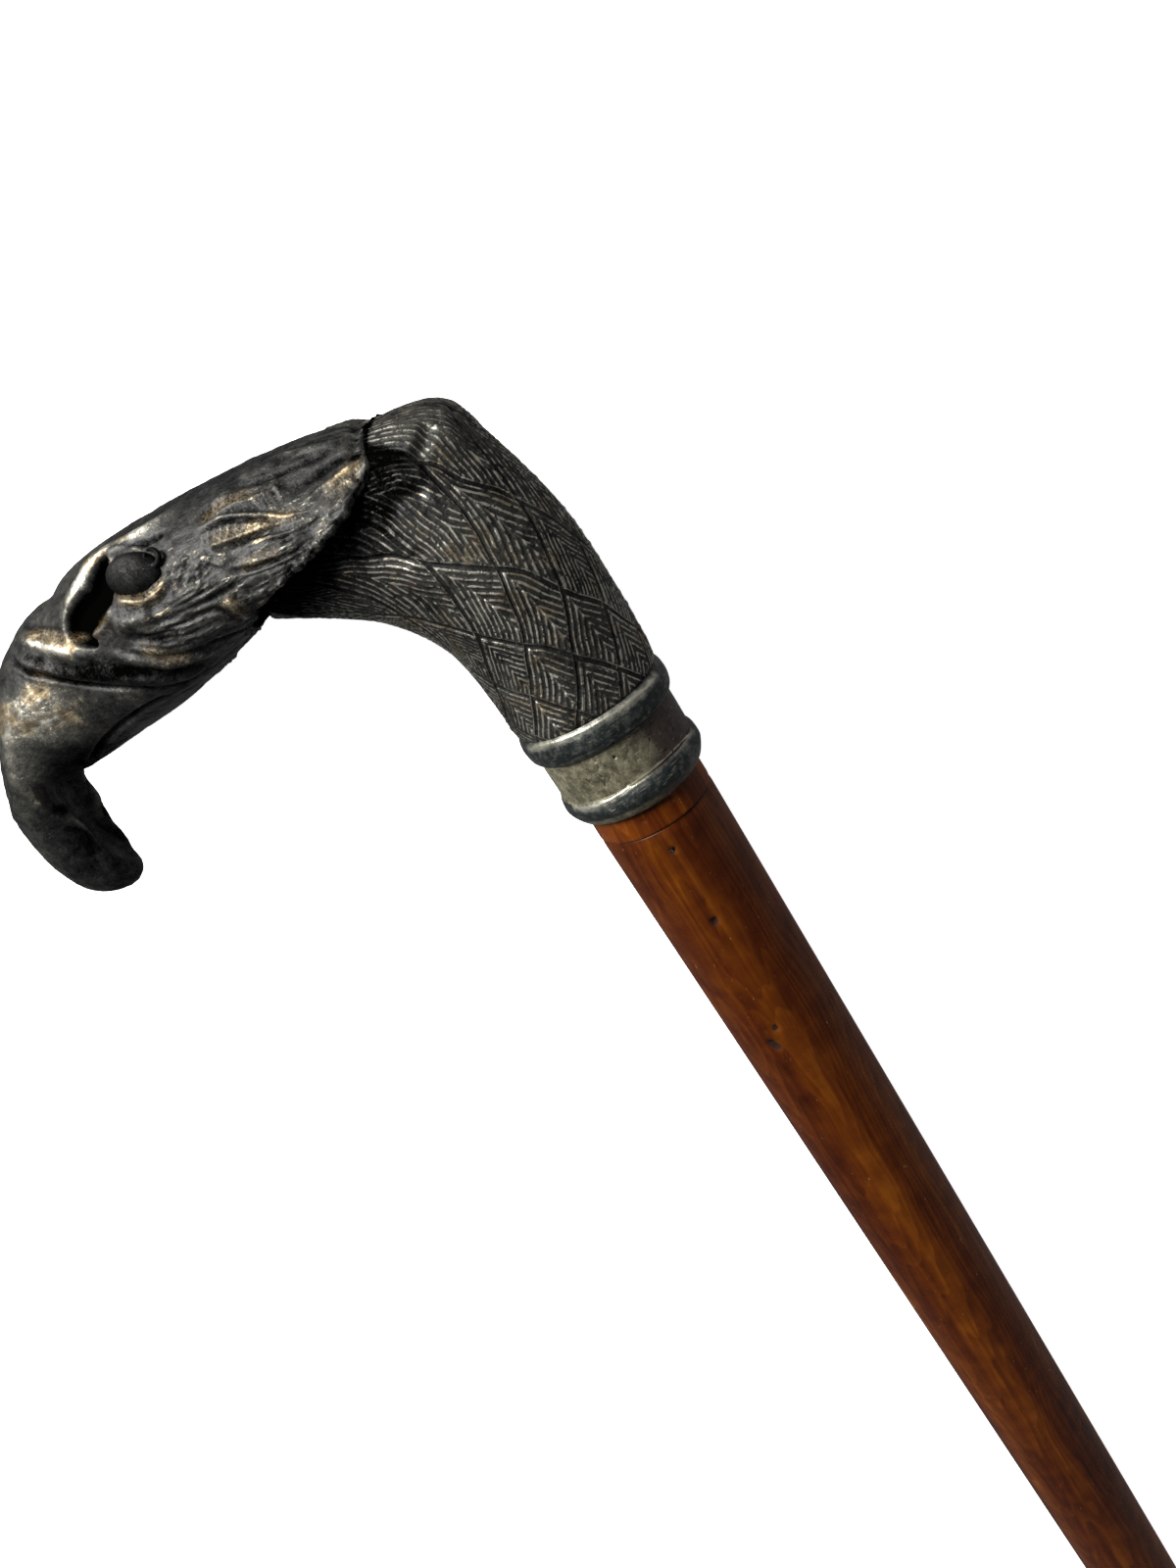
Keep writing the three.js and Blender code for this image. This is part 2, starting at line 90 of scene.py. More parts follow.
# Shaft
# A straight rod of red-brown hardwood, tapered and slightly swelled, turned and then varnished.
# It is worn by handling: a few gouges, scratches and specks. The ferrule covers its tail and a
# dowel joins its head to the plug in the collar.

# The cane's own axes: x runs down the shaft from the collar's lower edge, y out of the bird's
# nape and z out of its left cheek. The ferrule's end gives the shaft's line, and the two nails
# beside it give the nape's side. Every piece is drawn there, in millimetres.
shaft_reach = 772
ferrule_end = frame["record"]["mounts"][0]
nail_middles = [sum(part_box(f"ferrule_nail_{side}"), Vector()) / 2 for side in ("front", "back")]
down_shaft = Vector(ferrule_end["axis"]).normalized()
out_of_nape = nail_middles[1] - nail_middles[0]
out_of_nape = (out_of_nape - out_of_nape.dot(down_shaft) * down_shaft).normalized()
out_of_cheek = down_shaft.cross(out_of_nape)
cane_axes = np.array((down_shaft, out_of_nape, out_of_cheek))
cane_start = np.array(Vector(ferrule_end["pos_m"]) - shaft_reach * MM * down_shaft)
chance = np.random.default_rng(11)


def keep_values(mesh, name, values):
    """Stores a number, or a vector, for each point of a mesh."""
    values = np.asarray(values, np.float32)
    kind, field = ("FLOAT", "value") if values.ndim == 1 else ("FLOAT_VECTOR", "vector")
    mesh.attributes.new(name, kind, "POINT").data.foreach_set(field, values.ravel())


def in_box(places):
    """Places held inside the box of the whole cane."""
    return np.clip(places, np.array(cad_low), np.array(cad_high))


def new_piece(name, points, faces, **values):
    """A closed mesh at the origin, from points in millimetres on the cane's own axes. Each point
    keeps its place there, so that grain and tarnish run on from piece to piece. The sign of the
    volume shows whether the faces have to be turned to look outwards."""
    points = np.asarray(points, float)
    fans = [(f[0], f[i], f[i + 1]) for f in faces for i in range(1, len(f) - 1)]
    a, b, c = points[np.array(fans)].transpose(1, 0, 2)
    if np.einsum("ij,ij->", a, np.cross(b, c)) < 0:
        faces = [tuple(reversed(f)) for f in faces]
    mesh = bpy.data.meshes.new(name)
    mesh.from_pydata(in_box(points @ cane_axes * MM + cane_start), [], faces)
    mesh.polygons.foreach_set("use_smooth", [True] * len(mesh.polygons))
    keep_values(mesh, "cane_place", points)
    for value_name, of_points in values.items():
        keep_values(mesh, value_name, of_points)
    piece = bpy.data.objects.new(name, mesh)
    bpy.context.scene.collection.objects.link(piece)
    return piece


def skin_faces(rows, sides):
    """The faces of a closed skin: rows of points round it, then its first and its last pole."""
    k = np.arange(sides)
    after = (k + 1) % sides
    faces = []
    for row in range(rows - 1):
        here = row * sides
        faces += np.column_stack(
            (here + k, here + after, here + sides + after, here + sides + k)).tolist()
    first, last = rows * sides, rows * sides + 1
    faces += [(first, int(b), int(a)) for a, b in zip(k, after)]
    faces += [(last, (rows - 1) * sides + int(a), (rows - 1) * sides + int(b))
              for a, b in zip(k, after)]
    return faces


def turned(profile, sides):
    """Rings of points round the shaft's line, for a profile of (distance, radius) pairs."""
    angle = 2 * np.pi * np.arange(sides) / sides
    x, radius = np.array(profile, float).T
    return np.stack((np.repeat(x[:, None], sides, 1), radius[:, None] * np.cos(angle),
                     radius[:, None] * np.sin(angle)), axis=-1)


def with_poles(rings, first=None, last=None):
    """Rings as one list of points, closed by a pole in the middle of each end ring."""
    poles = [rings[0].mean(0) if first is None else first,
             rings[-1].mean(0) if last is None else last]
    return np.vstack((rings.reshape(-1, 3), poles))


def worked(rings, relief, first=None, last=None):
    """Turned rings, with poles, whose points stand out from the shaft's line by a relief."""
    points = rings.reshape(-1, 3)
    outward = points * (0, 1, 1)
    outward /= np.linalg.norm(outward, axis=1)[:, None]
    return with_poles((points + outward * relief[:, None]).reshape(rings.shape), first, last)


class Seen:
    """A smooth skin that pixels of the photograph are cast onto from the camera."""
    eye = (np.array(camera.matrix_world.translation) - cane_start) @ cane_axes.T / MM
    right, down, forward = (np.array(v) @ cane_axes.T
                            for v in (camera_right, camera_down, camera_forward))

    def __init__(self, rings):
        rows, sides = rings.shape[:2]
        self.tree = BVHTree.FromPolygons(rings.reshape(-1, 3).tolist(), skin_faces(
            rows, sides)[:(rows - 1) * sides])

    def place(self, pixel):
        """The point that a pixel shows, in millimetres, or the nearest one if it misses."""
        ray = (self.right * (pixel[0] - photo_width / 2) + self.down
               * (pixel[1] - photo_height / 2) + self.forward * lens_pixels)
        ray /= np.linalg.norm(ray)
        hit = self.tree.ray_cast(Vector(self.eye), Vector(ray))[0]
        if hit is None:
            near = [self.tree.find_nearest(Vector(self.eye + ray * d)) for d in range(90, 300, 4)]
            hit = min(near, key=lambda found: found[3])[0]
        return np.array(hit)

    def line(self, pixels, step=4.0):
        """The points that a smooth line through pixels shows."""
        pixels = np.array(pixels, float)
        if len(pixels) == 1:
            return np.array([self.place(pixels[0])])
        length = np.linalg.norm(np.diff(pixels, axis=0), axis=1).sum()
        line = np.array([self.place(p) for p in curve(
            pixels, np.linspace(0, 1, max(3, int(length / step))))])
        for _ in range(3):   # evens out the steps that a slanting skin gives
            line[1:-1] = (line[:-2] + 2 * line[1:-1] + line[2:]) / 4
        return line


def curve(points, shares):
    """Points of a centripetal Catmull-Rom curve, at shares from 0 to 1 of its row of points."""
    points = np.asarray(points, float)
    ends = 2 * points[[0, -1]] - points[[1, -2]]
    row = np.vstack((ends[:1], points, ends[1:]))
    step = np.maximum(np.linalg.norm(np.diff(row, axis=0), axis=1), 1e-9) ** 0.5
    place = np.clip(np.asarray(shares, float), 0, 1) * (len(points) - 1)
    k = np.minimum(place.astype(int), len(points) - 2)
    t = (place - k)[:, None]
    before, first, second, after = (row[k + i] for i in range(4))
    d0, d1, d2 = (step[k + i][:, None] for i in range(3))
    leave = d1 * ((first - before) / d0 - (second - before) / (d0 + d1) + (second - first) / d1)
    reach = d1 * ((second - first) / d1 - (after - first) / (d1 + d2) + (after - second) / d2)
    return (first + leave * t + (3 * (second - first) - 2 * leave - reach) * t ** 2
            + (2 * (first - second) + leave + reach) * t ** 3)


def smooth(low, high, value):
    """0 below low, 1 above high and a smooth rise between them."""
    t = np.clip((value - low) / (high - low), 0, 1)
    return t * t * (3 - 2 * t)


def tooled(points, line, half_width, height, shape="round", fade=0.25):
    """How far a tool drawn along a line of places raises, or cuts, each point. The mark is round
    or sharp across, and it fades out over a share of its length at each end."""
    amount = np.zeros(len(points))
    low, high = line.min(0) - half_width, line.max(0) + half_width
    near = np.flatnonzero(((points > low) & (points < high)).all(1))
    if not len(near):
        return amount
    if len(line) == 1:
        gap, share = np.linalg.norm(points[near] - line[0], axis=1), np.full(len(near), 0.5)
    else:
        begin, way = line[:-1], np.diff(line, axis=0)
        length = np.maximum(np.linalg.norm(way, axis=1), 1e-9)
        run = np.r_[0, np.cumsum(length)]
        gap, share = np.full(len(near), 1e9), np.zeros(len(near))
        for k in range(len(way)):
            off = points[near] - begin[k]
            t = np.clip(off @ way[k] / length[k] ** 2, 0, 1)
            d = np.linalg.norm(off - t[:, None] * way[k], axis=1)
            closer = d < gap
            gap[closer] = d[closer]
            share[closer] = ((run[k] + t * length[k]) / run[-1])[closer]
    across = np.clip(1 - gap / half_width, 0, 1)
    if shape == "round":
        across = (1 - (1 - across) ** 2) ** 2
    ends = 1 if len(line) == 1 else smooth(0, fade, share) * smooth(0, fade, 1 - share)
    amount[near] = height * across * ends
    return amount


# The rod's radii, its joint with the plug and its thinner tail inside the ferrule.
shaft_top_radius = 9.35
shaft_tail_radius = 6.35
shaft_swell = 0.18
plug_joint = 4.3
joint_gap, joint_round = 0.04, 0.22   # the fine dark line, and the worn edge beside it
joint_fall = 2600                     # how soon that edge ends, along the rod
dowel_bore_radius = 3.6
ferrule_top = 744.0
tail_radius, tail_end_radius, tail_end = 5.15, 4.6, 763.6
edge = 0.3                            # width of a small chamfer
seen_length, seen_step = 190, 0.55    # where the camera sees the rod, its rings lie close
rod_length = ferrule_top - plug_joint - edge
shaft_share = np.r_[np.arange(0, seen_length, seen_step),
                    np.linspace(seen_length, rod_length - edge, 170)] / rod_length
joint_face = plug_joint + joint_gap
shaft_profile = [(joint_face, dowel_bore_radius), (joint_face, shaft_top_radius - joint_round)]
shaft_profile += [
    (plug_joint + edge + t * rod_length,
     shaft_top_radius + (shaft_tail_radius - shaft_top_radius) * t
     + shaft_swell * np.sin(np.pi * t) - joint_round * np.exp(-t * joint_fall))
    for t in shaft_share]
shaft_profile += [(ferrule_top - edge, tail_radius), (tail_end - edge, tail_radius),
                  (tail_end, tail_end_radius)]
shaft_sides = 132
shaft_rings = turned(shaft_profile, shaft_sides)
shaft_points = shaft_rings.reshape(-1, 3)
on_shaft = Seen(turned([(x, r) for x, r in shaft_profile if r > 6 and x < 300][::8], 64))

# Marks of use, at pixels of the photograph: half width, depth and the line of each.
shaft_marks = [
    (0.62, 0.9, [(687, 867)]),
    (0.75, 0.55, [(727, 936), (731, 943)]), (0.5, 0.3, [(728, 941), (733, 946)]),
    (0.2, 0.16, [(706, 959), (734, 948)]), (0.8, 0.45, [(788, 1052), (794, 1047)]),
    (1.0, 0.6, [(784, 1062), (790, 1068), (796, 1072)]), (0.55, 0.35, [(781, 1054)]),
    (0.35, 0.2, [(733, 969), (737, 985)]), (0.3, 0.2, [(739, 1000), (745, 1020)]),
    (0.25, 0.18, [(718, 915), (722, 924)]), (0.18, 0.18, [(743, 902), (758, 917), (773, 933)]),
    (0.25, 0.15, [(819, 1046), (824, 1049)]), (0.3, 0.2, [(966, 1302), (972, 1299)]),
    (0.25, 0.15, [(835, 1110), (838, 1122)]), (0.3, 0.18, [(861, 1188), (864, 1197)]),
]
shaft_wear = np.zeros(len(shaft_points))
for half_width, depth, pixels in shaft_marks:
    shaft_wear -= tooled(shaft_points, on_shaft.line(pixels), half_width, depth, fade=0.15)
for _ in range(70):   # scratches all round
    x, turn = chance.uniform(8, 700), chance.uniform(0, 2 * np.pi)
    length, lean = chance.uniform(0.8, 7), chance.normal(0, 0.12)
    r = np.interp(x, *np.array(shaft_profile[2:-3]).T)
    line = np.array([(x + s * length, r * np.cos(turn + lean * s), r * np.sin(turn + lean * s))
                     for s in np.linspace(0, 1, 5)])
    shaft_wear -= tooled(shaft_points, line, chance.uniform(0.2, 0.5), chance.uniform(0.04, 0.16))
shaft = new_piece(
    "shaft_rod", worked(shaft_rings, shaft_wear, (joint_face, 0, 0), (tail_end, 0, 0)),
    skin_faces(len(shaft_profile), shaft_sides), cut=np.r_[-shaft_wear, 0, 0])
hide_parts("shaft")
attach(shaft, "root")


def add_node(tree, kind, *inputs, out=0, **settings):
    """Adds a node to a tree, a material's or a shape's, and gives one of its outputs. Its inputs
    are filled in their order with wires and values, and None leaves one as it is."""
    made = tree.nodes.new(kind)
    for name, value in settings.items():
        setattr(made, name, value)
    for place, value in zip(made.inputs, inputs):
        if isinstance(value, Wire):
            tree.links.new(value.socket, place)
        elif value is not None:
            place.default_value = value
    return Wire(made.outputs[out])


class Wire:
    """A number that runs through a node tree: plain arithmetic on it adds the nodes for it."""
    def __init__(self, socket):
        self.socket = socket

    def math(self, operation, *others):
        return add_node(self.socket.id_data, "ShaderNodeMath", self, *others, operation=operation)

    def __add__(self, other):
        return self.math("ADD", other)

    def __sub__(self, other):
        return self.math("SUBTRACT", other)

    def __rsub__(self, other):
        return self.math("MULTIPLY_ADD", -1, other)

    def __mul__(self, other):
        return self.math("MULTIPLY", other)

    def __truediv__(self, other):
        return self.math("DIVIDE", other)

    __radd__, __rmul__ = __add__, __mul__

    def least(self, other):
        return self.math("MINIMUM", other)

    def most(self, other):
        return self.math("MAXIMUM", other)

    def step(self, low, high):
        """0 up to low, 1 from high on and a smooth way between them, or the other way round."""
        ends = (low, high, 0, 1) if low < high else (high, low, 1, 0)
        return add_node(self.socket.id_data, "ShaderNodeMapRange", self, *ends,
                        interpolation_type="SMOOTHSTEP")


class Finish:
    """A material, with short names for the nodes that it is mixed from."""
    def __init__(self, name):
        self.material = bpy.data.materials.new(name)
        self.material.use_nodes = True
        self.tree = self.material.node_tree
        self.shader = self.tree.nodes["Principled BSDF"]

    def value(self, name, field="Fac"):
        return add_node(self.tree, "ShaderNodeAttribute", out=field, attribute_name=name)

    def object_place(self):
        return add_node(self.tree, "ShaderNodeTexCoord", out="Object")

    def part(self, vector, axis):
        return add_node(self.tree, "ShaderNodeSeparateXYZ", vector, out=axis)

    def stretch(self, vector, scale, turn=(0, 0, 0)):
        return add_node(self.tree, "ShaderNodeMapping", vector, None, turn, scale)

    def noise(self, vector, scale=1.0, detail=3.0, roughness=0.55, distortion=0.0):
        made = self.tree.nodes.new("ShaderNodeTexNoise")
        for name, value in (("Scale", scale), ("Detail", detail), ("Roughness", roughness),
                            ("Distortion", distortion)):
            made.inputs[name].default_value = value
        self.tree.links.new(vector.socket, made.inputs["Vector"])
        return Wire(made.outputs[0])

    def colours(self, value, *stops):
        """A colour that changes with a number: (number, colour) pairs."""
        made = add_node(self.tree, "ShaderNodeValToRGB", value)
        ramp = made.socket.node.color_ramp
        while len(ramp.elements) < len(stops):
            ramp.elements.new(0.5)
        for element, (place, colour) in zip(ramp.elements, stops):
            element.position, element.color = place, (*colour, 1)
        return made

    def blend(self, factor, first, second, way="MIX"):
        first, second = (c if isinstance(c, Wire) else (*c, 1) for c in (first, second))
        return add_node(self.tree, "ShaderNodeMix", factor, *[None] * 5, first, second, out=2,
                        data_type="RGBA", blend_type=way)

    def set(self, **sockets):
        """Fills the shader's own sockets, by their names with _ for a space."""
        for name, value in sockets.items():
            socket = self.shader.inputs[name.replace("_", " ")]
            if isinstance(value, Wire):
                self.tree.links.new(value.socket, socket)
            else:
                socket.default_value = value

    def bump(self, *layers):
        """Fine relief, as (height in millimetres, strength) layers."""
        below = None
        for height, strength in layers:
            made = self.tree.nodes.new("ShaderNodeBump")
            made.inputs["Distance"].default_value = MM
            made.inputs["Strength"].default_value = strength
            self.tree.links.new(height.socket, made.inputs["Height"])
            if below:
                self.tree.links.new(below.socket, made.inputs["Normal"])
            below = Wire(made.outputs[0])
        self.set(Normal=below)

    def onto(self, *pieces):
        for piece in pieces:
            if piece.data.materials:
                piece.data.materials[0] = self.material
            else:
                piece.data.materials.append(self.material)


def stained_wood(name, seed, rings_lean=0.05, light=1.0):
    """Red-brown hardwood: growth rings that lean a little out of the rod's line, dark pores and
    streaks along it, and a satin varnish dulled by wear. Round one side of the rod the wood is
    painted darker: painted shade, mixed with dark streaks."""
    wood = Finish(name)
    place = wood.value("cane_place", "Vector")
    moved = add_node(wood.tree, "ShaderNodeVectorMath", place,
                     (seed * 31.7, seed * 13.1, seed * 7.9))
    x, y, z = (wood.part(place, axis) for axis in "XYZ")
    sway = wood.noise(wood.stretch(moved, (0.018, 0.10, 0.10)), 1, 2)
    depth = y * 0.5 - z * 0.75 + x * rings_lean + (sway - 0.5) * 15
    ring = (depth * 0.8).math("FRACT")
    ring = ring.step(0.15, 1.0) * ring.step(1.0, 0.9)
    streak = wood.noise(wood.stretch(moved, (0.025, 0.9, 0.9)), 1, 4, 0.6)
    broad = wood.noise(wood.stretch(moved, (0.012, 0.16, 0.16)), 1, 2)
    pores = wood.noise(wood.stretch(moved, (0.16, 4.2, 4.2)), 1, 2, 0.6)
    cloud = wood.noise(moved, 0.22, 3)
    tone = ring * 0.07 + streak * 0.3 + broad * 0.5 + cloud * 0.25 - 0.06
    colour = wood.colours(
        tone, (0.30, (0.012, 0.0020, 0.0003)), (0.43, (0.031, 0.0056, 0.0005)),
        (0.55, (0.056, 0.0128, 0.0007)), (0.70, (0.105, 0.0300, 0.0015)))
    # Painted shade: the rod is darker round its side towards -z and -y, mixed with dark streaks
    # from the sway.
    shaded_side_and_streaks = (z * -0.10 - y * 0.05 + sway * 0.8).step(0.2, 0.75)
    colour = wood.blend(shaded_side_and_streaks * 0.8, colour, (0.012, 0.0022, 0.0010))
    colour = wood.blend(pores.step(0.62, 0.74) * 0.35, colour, (0.04, 0.012, 0.004))
    cut, dirt = wood.value("cut"), wood.noise(moved, 1.6, 3)
    colour = wood.blend(cut.step(0.1, 0.35), colour, (0.012, 0.006, 0.004))
    scuffs = wood.noise(wood.stretch(moved, (0.5, 5.0, 5.0), (0, 0, 0.5)), 1, 2, 0.5)
    scuff = scuffs.step(0.70, 0.78) * dirt.step(0.48, 0.62)
    colour = wood.blend(scuff * 0.5, colour, (0.42, 0.25, 0.14))
    if light != 1:
        colour = wood.blend(1.0, colour, (light, light, light), "MULTIPLY")
    haze = wood.noise(wood.stretch(moved, (0.05, 0.3, 0.3)), 1, 3)
    wood.set(Base_Color=colour, Roughness=haze * 0.3 + 0.28 + cut.step(0.05, 0.3) * 0.3,
             Coat_Weight=0.03, Coat_Roughness=0.22, IOR=1.3, Specular_IOR_Level=0.2)
    wood.bump((streak * 0.06 + pores * 0.05, 0.5), (dirt * 0.03, 0.5))
    return wood


stained_wood("stained_hardwood", 1).onto(shaft)


# Ferrule
# A thin drawn brass sleeve is pushed over the shaft's tail and held by two round-headed nails.
# A turned iron tip with a spigot closes it, and its flat end meets the ground.
def fine_profile(profile, step):
    """A turned profile with more points, no further apart than a step."""
    fine = [profile[0]]
    for start, end in zip(profile, profile[1:]):
        count = max(1, int(np.ceil(np.hypot(end[0] - start[0], end[1] - start[1]) / step)))
        fine += [tuple(start[i] + (end[i] - start[i]) * k / count for i in (0, 1))
                 for k in range(1, count + 1)]
    return fine


def pressed_in(points, depths, radius):
    """Turned points, nearer to the shaft's line by their depths."""
    share = 1 - depths / radius
    return points * np.column_stack((np.ones(len(points)), share, share))


def tarnish(finish):
    """Patches, mottling and drawn lines on the cane's place, for brass and iron."""
    place = finish.value("cane_place", "Vector")
    return (finish.noise(place, 0.25, 3), finish.noise(place, 1.3, 4, 0.6),
            finish.noise(finish.stretch(place, (0.25, 3, 3), (0.1, 0.1, 0)), 1.6, 2, 0.5))


brass = Finish("dull_brass")
patches, mottle, lines = tarnish(brass)
brass.set(Base_Color=brass.colours(
    patches * 0.55 + mottle * 0.45, (0.3, (0.05, 0.036, 0.016)), (0.48, (0.26, 0.17, 0.06)),
    (0.7, (0.52, 0.38, 0.16))), Metallic=0.9, Roughness=mottle * 0.3 + lines * 0.12 + 0.2)
brass.bump((lines * 0.012 + mottle * 0.03, 0.6))

iron = Finish("worn_iron")
patches, mottle, lines = tarnish(iron)
iron.set(Base_Color=iron.colours(
    patches * 0.5 + mottle * 0.5, (0.32, (0.02, 0.013, 0.009)), (0.5, (0.07, 0.062, 0.055)),
    (0.7, (0.2, 0.19, 0.18))), Metallic=0.75, Roughness=mottle * 0.35 + 0.32)
iron.bump((lines * 0.02 + mottle * 0.05, 0.7))

sleeve_wall = 0.9
sleeve_end = 767.1
tip_radius = 6.5
ferrule_sides = 96
sleeve_bore = shaft_tail_radius - sleeve_wall
sleeve_profile = fine_profile(
    [(ferrule_top, sleeve_bore), (ferrule_top, shaft_tail_radius - 0.25),
     (ferrule_top + 0.12, shaft_tail_radius - 0.06), (ferrule_top + 0.4, shaft_tail_radius),
     (sleeve_end - 0.15, shaft_tail_radius), (sleeve_end, shaft_tail_radius - 0.12),
     (sleeve_end, sleeve_bore)], 0.5)
sleeve_rows = len(sleeve_profile)
k = np.arange(ferrule_sides)
after = (k + 1) % ferrule_sides
sleeve_faces = []
for row in range(sleeve_rows):   # the last row joins the first one, along the bore
    here, ahead = row * ferrule_sides, (row + 1) % sleeve_rows * ferrule_sides
    sleeve_faces += np.column_stack((here + k, here + after, ahead + after, ahead + k)).tolist()
sleeve_points = turned(sleeve_profile, ferrule_sides).reshape(-1, 3)
sleeve_sway = np.array([noise.noise(Vector(p) * 0.22) for p in sleeve_points]) * 0.05
sleeve = new_piece("ferrule_tube", pressed_in(
    sleeve_points, np.abs(sleeve_sway), shaft_tail_radius), sleeve_faces)
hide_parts("ferrule_sleeve")
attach(sleeve, "root")
brass.onto(sleeve)

tip_profile = fine_profile(
    [(sleeve_end + 0.02, 0.6), (sleeve_end + 0.02, tip_radius - 0.3),
     (sleeve_end + 0.3, tip_radius), (shaft_reach - 1.2, tip_radius),
     (shaft_reach - 0.55, tip_radius - 0.25), (shaft_reach, tip_radius - 0.8),
     (shaft_reach, 0.6)], 0.45)
tip_rings = turned(tip_profile, ferrule_sides)
tip_points = tip_rings.reshape(-1, 3)
dents = np.array([max(noise.noise(Vector(p) * 0.6), 0) for p in tip_points]) * 0.14
tip_points = pressed_in(tip_points, dents, tip_radius)
ferrule_tip = new_piece("ferrule_foot", with_poles(tip_points.reshape(tip_rings.shape)),
                        skin_faces(len(tip_profile), ferrule_sides))
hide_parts("ferrule_tip")
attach(ferrule_tip, "root")
iron.onto(ferrule_tip)

nail_place = 5   # from the sleeve's upper edge
nail_sides = 40
nail_profile = [(-3.6, 0.3), (-3.2, 0.55), (0, 0.6), (0, 1.12), (0.06, 1.2), (0.18, 1.14),
                (0.3, 0.9), (0.37, 0.55), (0.4, 0.15)]   # height over the sleeve, radius
angle = 2 * np.pi * np.arange(nail_sides) / nail_sides
for name, side in (("back", 1), ("front", -1)):
    rings = [np.column_stack((ferrule_top + nail_place + radius * np.cos(angle),
                              np.full(nail_sides, side * (shaft_tail_radius + height)),
                              radius * np.sin(angle))) for height, radius in nail_profile]
    nail = new_piece(f"round_nail_{name}", with_poles(np.array(rings)),
                     skin_faces(len(nail_profile), nail_sides))
    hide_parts(f"ferrule_nail_{name}")
    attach(nail, "root")
    brass.onto(nail)


# Joint of plug and shaft
# A pale dowel glued into both ends joins them, and a thin iron pin through the shaft's side
# locks it: it shows as a dark dot. Pitch beds the plug's tenon in the casting's socket.
pitch = Finish("old_pitch")
crumbs = pitch.noise(pitch.object_place(), 900, 4)
pitch.set(Base_Color=pitch.colours(crumbs, (0.3, (0.01, 0.007, 0.004)),
                                   (0.7, (0.05, 0.034, 0.02))),
          Roughness=crumbs * 0.4 + 0.3)
pitch.onto(bpy.data.objects["socket_pitch"])

dowel = Finish("pale_dowel_wood")
grain = dowel.noise(dowel.stretch(dowel.object_place(), (60, 1400, 1400)), 1, 3)
dowel.set(Base_Color=dowel.colours(grain, (0.3, (0.30, 0.18, 0.085)), (0.7, (0.6, 0.42, 0.23))),
          Roughness=grain * 0.2 + 0.5)
dowel.onto(bpy.data.objects["joint_dowel"])

pin_iron = Finish("pin_iron")
rust = pin_iron.noise(pin_iron.object_place(), 1800, 3)
pin_iron.set(Base_Color=pin_iron.colours(rust, (0.4, (0.012, 0.009, 0.007)),
                                         (0.62, (0.3, 0.28, 0.26))),
             Metallic=0.8, Roughness=rust * 0.3 + 0.25)
pin_iron.onto(bpy.data.objects["joint_pin"])


# Plug ring
# The shoulder of the wooden plug shows as a ring between the collar and the shaft. It is the
# same hardwood, a little lighter, and a fine dark line marks its glued joint with the shaft.
ring_start = -1.0   # it goes on a little under the collar
tenon_radius = 4.0
ring_end = plug_joint - 0.02
ring_sides = 160
ring_profile = fine_profile(
    [(ring_start, tenon_radius), (ring_start, shaft_top_radius - 0.1),
     (plug_joint - 0.45, shaft_top_radius), (plug_joint - 0.18, shaft_top_radius - 0.03),
     (ring_end, shaft_top_radius - 0.2), (ring_end, dowel_bore_radius)], 0.3)
ring_rings = turned(ring_profile, ring_sides)
ring_points = ring_rings.reshape(-1, 3)
ring_wear = np.zeros(len(ring_points))
on_ring = Seen(turned([(x, r) for x, r in ring_profile if r > 9.2], 64))
for half_width, depth, pixels in [(0.45, 0.3, [(657, 838)]), (0.2, 0.15, [(640, 833), (644, 838)]),
                                  (0.2, 0.12, [(668, 820), (672, 828)])]:
    ring_wear -= tooled(ring_points, on_ring.line(pixels), half_width, depth)
plug_ring = new_piece("plug_ring", worked(ring_rings, ring_wear),
                      skin_faces(len(ring_profile), ring_sides), cut=np.r_[-ring_wear, 0, 0])
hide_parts("wooden_plug")
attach(plug_ring, "root")
stained_wood("plug_hardwood", 5, rings_lean=0.02, light=1.35).onto(plug_ring)


# Collar
# A turned sleeve of white metal between two half-round beads. It is slid over the plug up to
# the casting. The beads' edges are painted bright as a highlight, and scratches on them are
# bright metal; the band is cracked and tarnished.
collar_length = 15.9
collar_band_radius = 10.7
collar_foot_radius = 9.8
collar_bore_radius = 8.0
upper_bead_rise, upper_bead_length = 1.1, 4.7
lower_bead_rise, lower_bead_length = 0.65, 4.6


def bead(start, length, rise, foot, end):
    """A half-round bead on a turned profile, whose foot may be lower at its end."""
    angle = np.linspace(np.pi, 0, 26)
    share = (1 + np.cos(angle)) / 2
    base = foot + (end - foot) * np.clip(2 * share - 1, 0, 1)
    return list(zip(start + length * share, base + rise * np.sin(angle) ** 0.85))


collar_start = -collar_length + 0.03
below_bead, above_bead = collar_start + upper_bead_length, -lower_bead_length
collar_profile = [(collar_start, collar_bore_radius), (collar_start, collar_band_radius - 0.05)]
collar_profile += bead(collar_start, upper_bead_length, upper_bead_rise, collar_band_radius,
                       collar_band_radius)
collar_profile += fine_profile(
    [(below_bead + 0.05, collar_band_radius - 0.12), (below_bead + 0.5, collar_band_radius - 0.02),
     (above_bead - 0.5, collar_band_radius), (above_bead - 0.05, collar_band_radius)], 0.22)
collar_profile += bead(above_bead, lower_bead_length, lower_bead_rise, collar_band_radius,
                       collar_foot_radius)
collar_profile += [(0, collar_foot_radius - 0.3), (-0.3, collar_bore_radius)]
collar_sides = 420
collar_rings = turned(collar_profile, collar_sides)
collar_points = collar_rings.reshape(-1, 3)
on_collar = Seen(turned(collar_profile[1:-1], 160))
upper_edge = [(537, 765), (560, 759), (587, 749), (632, 724), (655, 706), (673, 686)]
lower_edge = [(582, 822), (592, 825), (605, 824), (627, 813), (650, 797), (675, 777), (694, 758),
              (708, 744)]
